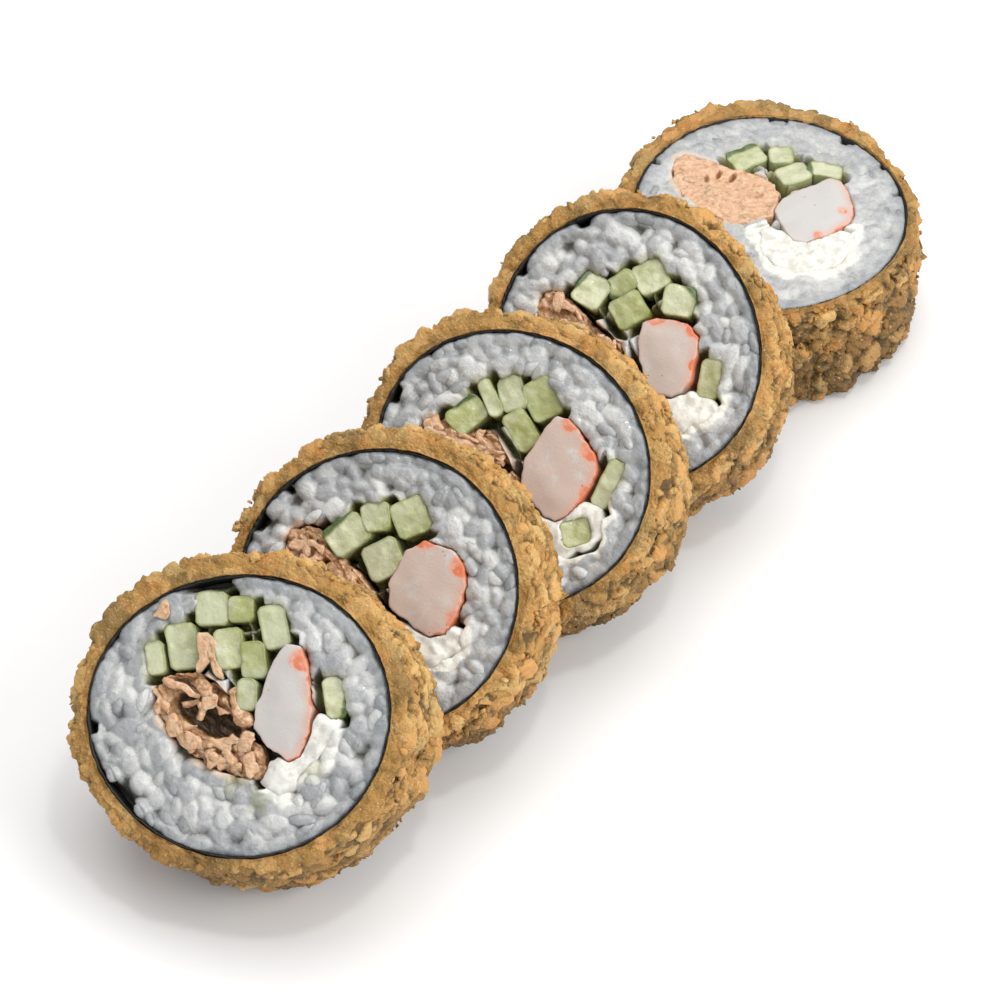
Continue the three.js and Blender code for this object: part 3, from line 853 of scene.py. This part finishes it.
riceValues = {
    "columns": 430, "frontRings": 70, "backRings": 44, "wallRows": 4, "clearance": 0.26,
    "spacing": 2.55, "edgeSpacing": 2.6, "edgeInset": 0.95, "jitter": 0.36, "alongEdge": 0.3,
    "leastClear": 0.5, "leastSecond": 1.6, "leastInside": 2.7, "mostNotch": 0.35,
    "length": (3.2, 5.8), "width": (2.5, 3.2), "crown": 1.0, "merge": 0.09, "top": (-0.8, 0.35),
    "cutLevel": 0.3, "cutLeft": 0.22, "underFillings": 9, "underReach": (0.35, -0.6), "between": 5,
    "betweenReach": (2.4, 1.2), "deepest": 3.2, "notchDepth": 3.5, "juiceReach": (2.5, 0.6),
    "juiceBetween": (2.8, 1.6), "leastJuice": 0.3, "slack": 0.1,
    "wholeShare": 0.2, "wholeClear": 1.2, "wholeInside": 1, "wholeSecond": 3, "wholeSize": 0.95, "flat": 0.8,
    "bend": 0.18, "uneven": 0.1, "wholeLevel": 0.3, "wholeLeft": 0.35, "rimGap": 0.36,
    "wholeSunk": 0.15, "wholeDrop": 0.35, "grainColumns": 10, "grainRows": 4,
}


# Where the grains of a cut face lie: spots on a shaken lattice and along the seaweed, clear of the fillings,
# each with a direction, a length, a width, the height of its top and a tone. clear and second are the
# distances to the two nearest fillings.
def grainSpots(disc, values, seed):
    draw = np.random.default_rng(disc["seed"] + seed)
    spacing, step, rowStep = values["spacing"], np.arange(-14, 15), 0.866  # rows of even triangles
    column, row = (part.ravel() for part in np.meshgrid(step, step))
    lattice = np.stack([column + 0.5 * row, rowStep * row], -1) * spacing
    lattice = lattice + drawAround(draw, 2, lattice.shape) * values["jitter"] * spacing
    edgeTurn = values["edgeSpacing"] / rollRadius
    rimAngle = np.arange(0, fullTurn, edgeTurn)
    rimAngle = rimAngle + drawAround(draw, 0.5, len(rimAngle)) * edgeTurn
    rimRadius = seaweedRadius(disc, rimAngle) - values["edgeInset"] - 0.5 * draw.random(len(rimAngle))
    spots = np.concatenate([lattice, polar(rimRadius, rimAngle)])
    atRim = np.arange(len(spots)) >= len(lattice)
    angle, radius = toPolar(spots)
    inside = seaweedRadius(disc, angle) - radius
    clear, second = np.sort(fillingDistances(disc, spots), axis=0)[:2]
    keep = (clear > values["leastClear"]) & (second > values["leastSecond"])
    keep = keep & (atRim | (inside > values["leastInside"]))
    keep = keep & (notchAt(disc, angle, inside) < values["mostNotch"])
    spots, atRim, angle, inside, clear, second = (
        part[keep] for part in (spots, atRim, angle, inside, clear, second))
    count = len(spots)
    followsEdge = atRim | (draw.random(count) < values["alongEdge"])
    turn = np.where(followsEdge, angle + math.pi / 2, draw.random(count) * fullTurn)
    length = drawBetween(draw, values["length"], count)
    return {
        "spot": spots, "clear": clear, "second": second, "inside": inside, "length": length,
        "turn": turn + drawAround(draw, 0.9, count), "width": drawBetween(draw, values["width"], count),
        "top": drawBetween(draw, values["top"], count), "tone": draw.random(count),
    }


# The pressed rice at flat places of a cut face: each grain is a dome, its crown less the squared distance
# from its middle, the domes run together by the logarithm of their summed exponentials, and what stands
# above the cut is pressed nearly flat. It lies deeper between two fillings and in the notches. Juice stains
# it beside the cucumber, most of all between two fillings. Gives the height and the marks.
def pressedRice(disc, values, grains, flat, seed):
    heights, tones, cracks, nearest, sticks = [], [], [], [], []
    isStick = ["_cucumber_" in node for node in disc["fillings"]]
    for ring in flat:
        along, across = alongAcross(ring[:, None] - grains["spot"], grains["turn"])
        along, across = along / (grains["length"] / 2), across / (grains["width"] / 2)
        dome = (grains["top"] - values["crown"] * (along**2 + across**2)) * disc["grainy"]
        best = dome.max(1)
        weight = np.exp((dome - best[:, None]) / values["merge"])
        heights.append(best + values["merge"] * np.log(weight.sum(1)))
        tones.append((weight * grains["tone"]).sum(1) / weight.sum(1))
        cracks.append(best - np.partition(dome, -2, axis=1)[:, -2])
        away = fillingDistances(disc, ring)
        nearest.append(np.sort(away, axis=0)[:2])
        sticks.append(away[isStick].min(0))
    height, tone, crack, stick = (np.array(part) for part in (heights, tones, cracks, sticks))
    clear, second = np.moveaxis(np.array(nearest), 1, 0)
    angle, radius = toPolar(flat)
    inside = seaweedRadius(disc, angle) - radius
    height = height + values["slack"] * softNoise(raised(flat, seed), 1.1, disc["seed"] + 61)
    proud = height + values["cutLevel"]
    height = np.where(proud > 0, proud * values["cutLeft"], proud) - values["cutLevel"]
    notch = notchAt(disc, angle, inside) if seed == 0 else 0
    height = height - 0.2 * ease(0.5, 0, inside) - values["notchDepth"] * notch
    height = np.maximum(height, -values["deepest"] - 2 * notch)
    height = height - values["underFillings"] * ease(*values["underReach"], clear)
    height = height - values["between"] * ease(*values["betweenReach"], second)
    least, crowded = values["leastJuice"], ease(*values["juiceBetween"], second)
    juice = ease(*values["juiceReach"], stick) * (least + (1 - least) * crowded)
    return height, {
        "tone": 0.55 + (tone - 0.55) * min(disc["grainy"], 1), "inside": inside,
        # dip is low in deep places and in cracks between grains, where the material paints shade.
        "dip": ease(-2.6, -0.5, height) * (0.55 + 0.45 * ease(0, 0.5, crack)),
        "stain": riceStain(disc, flat, tone), "juice": np.maximum(juice, smearAt(disc, flat)),
    }


# How much juice the smears leave at a place.
def smearAt(disc, flat):
    strongest, wander = 0.4, 1.5 * softNoise(raised(flat), 2.6, disc["seed"] + 67)
    spots = [ease(radius, radius * 0.2, np.hypot(flat[..., 0] - x, flat[..., 1] - y) + wander)
             for x, y, radius in disc["smears"]]
    return strongest * np.max(spots, axis=0)


# How far each filling colours the rice, which way, and whether its edge wanders.
riceStains = (
    {"kind": "cream_cheese", "reach": 3.4, "side": 0.5, "shake": 1},
    {"kind": "salmon", "reach": 1.5, "side": -0.5, "shake": 0},
    {"kind": "crab_stick", "reach": 0.8, "side": -0.3, "shake": 0},
)


# What the fillings leave on the rice: 0.5 is clean, 1 is smeared with cream cheese and 0 is warm with salmon.
def riceStain(disc, flat, tone):
    wander = 1.6 * softNoise(raised(flat), 3, disc["seed"] + 65)
    stain = np.full(flat.shape[:-1], 0.5)
    for stainer in riceStains:
        (outline,) = outlinesOf(disc, stainer["kind"])
        away = np.stack([outlineDistance(ring, outline) for ring in flat]) + wander * stainer["shake"]
        reach = stainer["reach"]
        stain = stain + stainer["side"] * ease(reach, reach * 0.35, away + 0.8 * (tone - 0.5))
    return np.clip(stain, 0, 1)


# The mass of rice: both cut faces as discs of rings from the middle out, and the side along the seaweed.
def riceCore(disc, values, frontGrains, backGrains):
    columns, thick = values["columns"], disc["thick"]
    angle = allRound(columns)
    rim = polar(seaweedRadius(disc, angle) - values["clearance"], angle)
    rows, marks, poles = [], {mark: [] for mark in markNames}, []
    bothFaces = ((values["frontRings"], frontGrains, 0), (values["backRings"], backGrains, 40))
    for count, grains, seed in bothFaces:
        order = 1 if seed == 0 else -1
        flat = np.linspace(0, 1, count + 1)[1:, None, None] * rim
        height, found = pressedRice(disc, values, grains, flat, seed)
        height = height if seed == 0 else -thick - height
        rows.append(np.concatenate([flat, height[..., None]], -1)[::order])
        poles.append([0, 0, height[0].mean()])
        for mark, value in found.items():
            marks[mark].append(value[::order])
    share = np.linspace(0, 1, values["wallRows"] + 2)[1:-1, None, None]
    wall = rows[0][-1] + share * (rows[1][0] - rows[0][-1])
    points, faces = closedSkin(np.concatenate([rows[0], wall, rows[1]]), np.array(poles))
    shell = {"points": points, "faces": faces}
    for mark, (front, back) in marks.items():
        side = np.broadcast_to(front[-1], (values["wallRows"], columns))
        ends = [front[0].mean(), back[-1].mean()]
        shell[mark] = np.concatenate([front.ravel(), side.ravel(), back.ravel(), ends])
    return shell


# Whole grains that stand out of the pressed rice here and there: bent and flattened ovals, pressed together
# where they would stand above the cut.
def wholeGrains(disc, values, grains, back):
    draw = np.random.default_rng(disc["seed"] + (200 if back else 100))
    chosen = draw.random(len(grains["spot"])) < values["wholeShare"]
    chosen = chosen & (grains["clear"] > values["wholeClear"])
    chosen = chosen & (grains["inside"] > values["wholeInside"]) & (grains["second"] > values["wholeSecond"])
    grains = {key: value[chosen] for key, value in grains.items()}
    count = len(grains["spot"])
    length, width = grains["length"] * values["wholeSize"], grains["width"] * values["wholeSize"]
    rings = ballRings(values["grainColumns"], values["grainRows"], 0.8)
    shape, faces = closedSkin(rings, np.array([[1.0, 0, 0], [-1.0, 0, 0]]))
    sized = shape * np.stack([length, width, width * values["flat"]], -1)[:, None] / 2
    sized[..., 1] += values["bend"] * (shape[:, 0] ** 2 - 0.4) * (draw.random(count)[:, None] * 2 - 0.6)
    own = np.arange(count)[:, None, None] * 5.1
    sized = sized * (1 + values["uneven"] * softNoise(shape[None] * 1.1 + own, 1, disc["seed"])[..., None])
    sunk = -values["wholeSunk"] - width * values["flat"] / 2 - values["wholeDrop"] * draw.random(count)
    frames = turnedFrames(grains["turn"], drawAround(draw, 0.5, count), draw.random(count) * fullTurn)
    points, faces = copies(sized, faces, frames, np.concatenate([grains["spot"], sunk[:, None]], -1))
    proud = points[..., 2] + values["wholeLevel"]
    points[..., 2] = np.where(proud > 0, proud * values["wholeLeft"], proud) - values["wholeLevel"]
    points[..., 2] = np.minimum(points[..., 2], 0)
    angle, radius = toPolar(points)
    room = seaweedRadius(disc, angle) - values["rimGap"]
    points[..., :2] *= np.minimum(1, room / radius)[..., None]
    # dip is low in deep places, where the material paints shade.
    dip = ease(-2.2, -0.6, points[..., 2])
    return {
        "points": turnedOver(disc, points) if back else points, "faces": faces, "dip": dip,
        "tone": grains["tone"][:, None], "inside": grains["inside"][:, None],
        "stain": riceStain(disc, grains["spot"][None], grains["tone"]).T,
        "juice": smearAt(disc, grains["spot"])[:, None],
    }


def riceShells(disc, values):
    front, back = grainSpots(disc, values, 300), grainSpots(disc, values, 400)
    core = riceCore(disc, values, front, back)
    return [core, wholeGrains(disc, values, front, False), wholeGrains(disc, values, back, True)]


# A closed outline as points at even steps along it.
def evenly(outline, step):
    closed = np.concatenate([outline, outline[:1]])
    travelled = np.concatenate([[0], np.cumsum(np.linalg.norm(np.diff(closed, axis=0), axis=1))])
    count = max(12, round(travelled[-1] / step))
    places = np.linspace(0, travelled[-1], count, endpoint=False)
    return np.stack([np.interp(places, travelled, closed[:, axis]) for axis in (0, 1)], -1)


# The point deepest inside an outline as seen from all its edges, from which every side is in view.
def heartOf(outline):
    low, high, across = outline.min(0), outline.max(0), 40
    x, y = np.meshgrid(np.linspace(low[0], high[0], across), np.linspace(low[1], high[1], across))
    tries = np.stack([x.ravel(), y.ravel()], -1)
    edge = np.roll(outline, -1, axis=0) - outline
    edge = edge / np.maximum(np.linalg.norm(edge, axis=1), 1e-9)[:, None]
    toTry = tries[:, None] - outline
    depth = (edge[:, 0] * toTry[..., 1] - edge[:, 1] * toTry[..., 0]).min(1)
    return tries[depth.argmax()]


# A filling between both cut faces: rings from its heart out to the outline, down the side and back in. The
# outline is grown outwards, by more and less along it. The face height comes from a function of the place
# and of how far inside the outline it is, and the edge is rounded as a quarter circle.
def plugShell(disc, outline, values, faceHeight):
    area = (outline[:, 0] * np.roll(outline[:, 1], -1) - outline[:, 1] * np.roll(outline[:, 0], -1)).sum()
    outline = outline if area > 0 else outline[::-1]
    loop = evenly(outline, values["step"])
    for _ in range(values["softness"]):
        loop = (np.roll(loop, 1, axis=0) + 2 * loop + np.roll(loop, -1, axis=0)) / 4
    along = np.roll(loop, -1, axis=0) - np.roll(loop, 1, axis=0)
    outward = np.stack([along[:, 1], -along[:, 0]], -1) / np.linalg.norm(along, axis=1)[:, None]
    flat = raised(loop)
    shake = softNoise(flat, 2.2, disc["seed"] + 3) + 0.5 * softNoise(flat, 0.9, disc["seed"] + 4)
    loop = loop + outward * (values["grow"] + values["ragged"] * shake)[:, None]
    heart = heartOf(loop)
    rings = 1 - (1 - np.linspace(0, 1, values["rings"] + 1)[1:]) ** 1.5
    flat = heart + rings[:, None, None] * (loop - heart)
    inside = np.maximum(0, -outlineDistance(flat, loop))
    inside[-1] = 0
    radius = values["edgeRadius"]
    left = np.clip(radius - inside, 0, radius)
    drop = radius - np.sqrt(radius**2 - left**2)
    middle = faceHeight(heart[None], np.array([inside.max()]), 0)[0]
    front = faceHeight(flat, inside, 0) - drop
    behind = -disc["thick"] - (faceHeight(flat, inside, 40) - drop)
    wall = np.linspace(0, 1, values["wallRows"] + 2)[1:-1][:, None]
    side = front[-1] + wall * (behind[-1] - front[-1])
    flats = np.concatenate([flat, np.broadcast_to(loop, (len(wall), *loop.shape)), flat[::-1]])
    heights = np.concatenate([front, side, behind[::-1]])
    rows = np.concatenate([flats, heights[..., None]], -1)
    points, faces = closedSkin(rows, np.array([[*heart, middle], [*heart, -disc["thick"] - middle]]))
    depth = np.concatenate([inside.ravel(), np.zeros(side.size), inside[::-1].ravel(), [inside.max()] * 2])
    return {"points": points, "faces": faces, "inside": depth, "dip": 1.0, "stain": 0.0}


cucumberValues = {
    "step": 0.24, "softness": 0, "rings": 13, "wallRows": 5, "edgeRadius": 0.16, "grow": 0.4, "ragged": 0.1,
    "slope": 0.2, "level": (0.02, 0.5), "ripple": 0.24, "rippleSize": 1.5, "peelDepth": (1.1, 0.5),
}


# Cucumber sticks: each cut face slopes its own way, with a slight ripple. dip runs from 0 to 1 across the
# stick, and stain marks the peel, a strip along the side that faces its direction.
def cucumberShells(disc, values):
    draw = np.random.default_rng(disc["seed"] + 7)
    sticks = [(node, outline) for node, outline in disc["fillings"].items() if "cucumber" in node]
    shells = []
    for node, outline in sticks:
        middle, reach = outline.mean(0), np.ptp(outline, axis=0).max() / 2
        slopes = drawAround(draw, 2, 2) * values["slope"] * disc["grainy"]
        level = values["level"][0] + np.ptp(values["level"]) * draw.random() ** 1.5 * disc["grainy"]

        def faceHeight(flat, inside, seed):
            ripple = values["ripple"] * softNoise(raised(flat), values["rippleSize"], disc["seed"] + seed)
            slope = (flat - middle) @ slopes - np.abs(slopes).sum() * reach
            return np.minimum(slope - level + ripple, -0.02)

        shell = plugShell(disc, outline, values, faceHeight)
        flat = shell["points"][:, :2]
        toSide, _ = alongAcross(flat - middle, draw.random() * fullTurn)
        shell["dip"] = 0.5 + 0.5 * toSide / reach
        peeled = disc["peel"].get(int(node.rsplit("_", 1)[1]))
        if peeled is not None:
            facing = polar(1, math.radians(peeled))
            under = (outline @ facing).max() - flat @ facing
            wander = 0.3 * softNoise(shell["points"], 1.2, disc["seed"])
            shell["stain"] = ease(*values["peelDepth"], under + wander)
        shells.append({**shell, "tone": draw.random()})
    return shells


crabValues = {
    "step": 0.28, "softness": 0, "rings": 18, "wallRows": 5, "edgeRadius": 0.3, "grow": 0.15, "ragged": 0.26,
    "dome": 0.25, "ripple": 0.14, "rippleSize": 3, "level": 0.15, "leastSkin": 0.12,
}


# The crab stick: a low dome with a slight ripple. stain is its skin: strongest towards one side and at the
# red spots. tone says how pink it is.
def crabShell(disc, values):
    (outline,) = outlinesOf(disc, "crab_stick")

    def faceHeight(flat, inside, seed):
        ripple = values["ripple"] * softNoise(raised(flat), values["rippleSize"], disc["seed"] + seed)
        return np.minimum(values["dome"] * (ease(0, 4, inside) - 1) - values["level"] + ripple, -0.02)

    shell = plugShell(disc, outline, values, faceHeight)
    flat = shell["points"][:, :2]
    apart = toPolar(flat - outline.mean(0))[0] - math.radians(disc["skin"])
    skin = values["leastSkin"] + (1 - values["leastSkin"]) * ease(-0.2, 0.7, np.cos(apart))
    for x, y, radius in disc["patches"]:
        spot = ease(radius + 0.8, radius - 0.4, np.hypot(flat[:, 0] - x, flat[:, 1] - y))
        skin = np.maximum(skin, 1.4 * spot)
        shell["inside"] = shell["inside"] * (1 - 0.85 * spot)
    return {**shell, "stain": skin, "tone": disc["blush"]}


creamValues = {
    "step": 0.3, "softness": 3, "rings": 16, "wallRows": 4, "edgeRadius": 1.1, "grow": 0.85, "ragged": 0.6,
    "lump": 0.5, "lumpSize": 3.2, "level": 0.7, "under": 3,
}


# Cream cheese: a smear with soft lumps and a wandering edge that dips where another filling lies in it. Its
# edge is sharper on a slice whose grains stand out less.
def creamShell(disc, values):
    (outline,) = outlinesOf(disc, "cream_cheese")
    others = [other for node, other in disc["fillings"].items() if "cream_cheese" not in node]

    def faceHeight(flat, inside, seed):
        place, seed = raised(flat), disc["seed"] + seed
        lump = softNoise(place, values["lumpSize"], seed) + 0.4 * softNoise(place, 1.2, seed + 1)
        height = np.minimum(values["lump"] * disc["grainy"] * (lump - values["level"]) - 0.05, -0.02)
        nearest = np.min([outlineDistance(flat, other) for other in others], axis=0)
        return height - values["under"] * ease(0.5, -0.1, nearest)

    thin = {"edgeRadius": values["edgeRadius"] * disc["grainy"] ** 2}
    return plugShell(disc, outline, {**values, **thin}, faceHeight)


salmonValues = {
    "step": 0.3, "softness": 2, "rings": 30, "wallRows": 4, "edgeRadius": 0.6, "grow": 0.15, "ragged": 0.6,
    "smoothEdge": 0.7, "smoothGrow": 0.25, "level": 0.8, "crumble": 0.9, "crumbleSize": 2.3,
    "fibre": 0.45, "fibreSize": 0.9,
    "flakeSpacing": 2.1, "flakeLength": (2.2, 5.8), "flakeWidth": (0.9, 2.2), "flakeThick": 1.1,
    "flakeHighest": -0.35, "flakeDrop": 1.3, "flakeTop": 0.25, "flakeLeft": 0.15,
    "flakeColumns": 11, "flakeRows": 10, "shred": 0.5, "sweep": 0.7, "bow": 0.5,
}


# How deep a place lies in the salmon's hollows: each is an oval with a soft rim.
def hollowAt(disc, flat):
    depth = np.zeros(flat.shape[:-1])
    for x, y, length, width, turn, deep in disc["hollows"]:
        along, across = alongAcross(flat - np.array([x, y]), math.radians(turn))
        depth = np.maximum(depth, deep * ease(1.25, 0.75, np.hypot(along / length, across / width)))
    return depth


# The body of the salmon: crumbled along its flesh, with deep hollows. Where it hasn't fallen into flakes, its
# edge is sharper and reaches further out. dip is 0 in the deepest places, where the material paints shade,
# and inside and stain are the places across the flesh and along it.
def salmonShell(disc, values):
    (outline,) = outlinesOf(disc, "salmon")
    lie, seed, smooth = math.radians(disc["flesh"]), disc["seed"], 1 - disc["flaked"]

    def faceHeight(flat, inside, side):
        along, across = alongAcross(flat, lie)
        place = np.stack([along * 0.55, across * 1.3, 0 * along], -1)
        near, second, _, _ = spotNoise(place, values["crumbleSize"], seed + side)
        fibre = softNoise(place * np.array([1, 2.5, 1]), values["fibreSize"], seed + side + 2)
        crumbled = values["crumble"] * ease(0.35, 0, second - near) + values["fibre"] * np.abs(fibre)
        hollow = hollowAt(disc, flat) if side == 0 else 0
        return (0.1 + 0.9 * disc["flaked"]) * -(values["level"] + crumbled) - hollow

    edge = {
        "edgeRadius": values["edgeRadius"] * (1 - values["smoothEdge"] * smooth),
        "grow": values["grow"] + values["smoothGrow"] * smooth,
    }
    shell = plugShell(disc, outline, {**values, **edge}, faceHeight)
    points = shell["points"]
    depth = np.minimum(-points[:, 2], disc["thick"] + points[:, 2])
    along, across = alongAcross(points, lie)
    bend = softNoise(points * np.array([1, 1, 0]), 4, seed + 90)
    return {
        **shell, "dip": ease(4.2, 1.5, depth), "tone": 0.95 - 0.55 * disc["flaked"],
        "inside": across + 1.2 * bend + 20, "stain": along,
    }


# Flakes on the salmon: strips that taper to both ends, with fibres along them, laid along the flesh on a
# shaken lattice clear of the hollows, and on the front face the slice's own shards. inside and stain are the
# places across a flake and along it.
def salmonFlakes(disc, values, back):
    seed, spacing = disc["seed"], values["flakeSpacing"]
    draw = np.random.default_rng(seed + (13 if back else 12))
    (outline,) = outlinesOf(disc, "salmon")
    step = np.arange(-9, 10) * spacing
    x, y = np.meshgrid(step, step * 0.8)
    spots = np.stack([x.ravel(), y.ravel()], -1)
    spots = spots + drawAround(draw, spacing, spots.shape)
    keep = (outlineDistance(spots, outline) < -0.8) & (hollowAt(disc, spots) < 0.3)
    keep = keep & (draw.random(len(spots)) < disc["flaked"])
    spots = spots[keep]
    count = len(spots)
    turn = math.radians(disc["flesh"]) + drawAround(draw, 1.7, count)
    length = drawBetween(draw, values["flakeLength"], count)
    width = drawBetween(draw, values["flakeWidth"], count)
    height = values["flakeHighest"] - values["flakeDrop"] * draw.random(count)
    tilt = drawAround(draw, 0.35, count)
    length = np.minimum(length, 2.4 - 2.2 * outlineDistance(spots, outline))
    if disc["shards"] and not back:
        shards = np.array(disc["shards"])
        spots = np.concatenate([spots, shards[:, :2]])
        height, length, width, turn, tilt = (np.concatenate(pair) for pair in (
            (height, shards[:, 2] - 0.3), (length, shards[:, 3]), (width, shards[:, 4]),
            (turn, np.radians(shards[:, 5])), (tilt, np.full(len(shards), 0.08))))
        count = len(spots)
    around = allRound(values["flakeColumns"])
    along = np.linspace(-1, 1, values["flakeRows"] + 2)[1:-1, None]
    halfLength, halfWidth = length[:, None, None] / 2, width[:, None, None] / 2
    halfThick = values["flakeThick"] / 2
    own = np.arange(count)[:, None, None]
    line = np.stack(np.broadcast_arrays(
        along * halfLength + own * 19.7, np.cos(around) * halfWidth, np.sin(around) * halfThick), -1)
    middle = line * np.array([1, 0, 0])
    taper = (1 - np.abs(along) ** 3) ** 0.6 * (1 + 0.5 * softNoise(middle, 1.7, seed))
    fibre = softNoise(line * np.array([0.4, 1.6, 1.6]), 0.8, seed + 5)
    shred = values["shred"] * (softNoise(line, 1.1, seed + 8) + 0.4 * fibre)
    sweep = values["sweep"] * softNoise(middle, 2.6, seed + 6)
    bow = values["bow"] * softNoise(middle, 2.2, seed + 7)
    rows = np.stack([
        along * halfLength + 0.5 * shred,
        np.cos(around) * (taper * halfWidth + shred) + sweep,
        np.sin(around) * (taper * halfThick + 0.7 * shred) + bow,
    ], -1)
    ends = np.stack([rows[:, 0].mean(1), rows[:, -1].mean(1)], 1)
    _, faces = closedSkin(rows[0], ends[0])
    shapes = np.concatenate([rows.reshape(count, -1, 3), ends], 1)
    frames = turnedFrames(turn, tilt, drawAround(draw, 1.1, count))
    points, faces = copies(shapes, faces, frames, np.concatenate([spots, height[:, None]], -1))
    proud = points[..., 2] + values["flakeTop"]
    points[..., 2] = np.where(proud > 0, proud * values["flakeLeft"], proud) - values["flakeTop"]
    # dip is low on deep flakes, where the material paints shade.
    tone, dip = 0.35 + 0.65 * draw.random((count, 1)), ease(-3.4, -1.2, points[..., 2])
    across, lengthwise = (
        np.concatenate([part.reshape(count, -1), part[:, 0, :1], part[:, -1, :1]], 1)
        for part in (line[..., 1] + 3.1 * own, line[..., 0]))
    points = turnedOver(disc, points) if back else points
    return {"points": points, "faces": faces, "tone": tone, "dip": dip, "inside": across, "stain": lengthwise}


def salmonShells(disc, values):
    return [salmonShell(disc, values), salmonFlakes(disc, values, False), salmonFlakes(disc, values, True)]


# Every piece of a slice: its name, the slot of its colour, which is also in the names of the solids that it
# stands for, and its shells.
for values in sliceValues:
    disc = readSlice(values)
    pieces = (
        ("fried_crust", "crust", [crustShell(disc, crustValues), looseCrumbs(disc, crustValues)]),
        ("seaweed_sheet", "nori", [seaweedShell(disc, seaweedValues)]),
        ("rice_grains", "rice", riceShells(disc, riceValues)),
        ("salmon_flakes", "salmon", salmonShells(disc, salmonValues)),
        ("cucumber_sticks", "cucumber", cucumberShells(disc, cucumberValues)),
        ("crab_meat", "crab_stick", [crabShell(disc, crabValues)]),
        ("cream_smear", "cream_cheese", [creamShell(disc, creamValues)]),
    )
    counts = []
    for name, slot, shells in pieces:
        nodes = [node for node in sorted(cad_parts) if node.startswith(f"{disc['name']}_{slot}")]
        counts.append(addPiece(name, disc, shells, slot, nodes))
    print("stage:", disc["name"], "triangles", counts)

# The camera stands where the photograph was taken from: azimuth 35, elevation 45.67, 1.05 m from the place on
# the floor that the middle of the picture shows.
cameraValues = {
    "azimuth": 35, "elevation": 45.67, "distance": 1.05, "lens": 206.8, "sensor": 36,
    "aim": (-0.01155, 0.00714, 0),
}


def addCamera(values):
    azimuth, elevation = math.radians(values["azimuth"]), math.radians(values["elevation"])
    level = math.cos(elevation)
    away = np.array([math.sin(azimuth) * level, -math.cos(azimuth) * level, math.sin(elevation)])
    data = bpy.data.cameras.new("camera")
    data.lens, data.sensor_width = values["lens"], values["sensor"]
    data.clip_start, data.clip_end = 0.05, 20
    camera = bpy.data.objects.new("camera", data)
    camera.location = np.array(values["aim"]) + away * values["distance"]
    camera.rotation_euler = (math.pi / 2 - elevation, 0, azimuth)
    bpy.context.scene.collection.objects.link(camera)
    bpy.context.scene.camera = camera


print("stage: camera, light and floor")
addCamera(cameraValues)

# Each lamp: where it stands, its size and power, and its tint, in metres and watts. All aim at the origin.
lightValues = {
    "sky": 0.64, "skyTint": (0.95, 0.97, 1.0),
    "lamps": [
        {"place": (-0.2, 0.3, 1.1), "size": 1.2, "power": 8.5, "tint": (1.0, 0.98, 0.95)},
        {"place": (0.25, -0.1, 1.2), "size": 0.1, "power": 1.6, "tint": (1.0, 0.99, 0.97)},
        {"place": (1.0, 0.1, 0.6), "size": 0.8, "power": 8, "tint": (1.0, 0.99, 0.97)},
    ],
}


def addLights(values):
    world = bpy.data.worlds.new("studio")
    world.use_nodes = True
    background = world.node_tree.nodes["Background"]
    background.inputs["Color"].default_value = (*values["skyTint"], 1)
    background.inputs["Strength"].default_value = values["sky"]
    bpy.context.scene.world = world
    for number, lamp in enumerate(values["lamps"]):
        data = bpy.data.lights.new(f"lamp{number}", "AREA")
        data.size, data.energy, data.color = lamp["size"], lamp["power"], lamp["tint"]
        light = bpy.data.objects.new(f"lamp{number}", data)
        light.location = lamp["place"]
        light.rotation_euler = (-light.location.normalized()).to_track_quat("-Z", "Y").to_euler()
        bpy.context.scene.collection.objects.link(light)


addLights(lightValues)

floorValues = {"half": 3.0, "colour": paint(0.95, 0.95, 0.95), "roughness": 0.9}


def addFloor(values):
    half = values["half"]
    corners = [(-half, -half, 0), (half, -half, 0), (half, half, 0), (-half, half, 0)]
    mesh = bpy.data.meshes.new("floor")
    mesh.from_pydata(corners, [], [(0, 1, 2, 3)])
    finish = Finish("paleFloor")
    mesh.materials.append(finish.close({"Base Color": values["colour"], "Roughness": values["roughness"]}))
    floor = bpy.data.objects.new("floor", mesh)
    bpy.context.scene.collection.objects.link(floor)


addFloor(floorValues)
bpy.context.scene.view_settings.view_transform = "Standard"

print("stage: done")
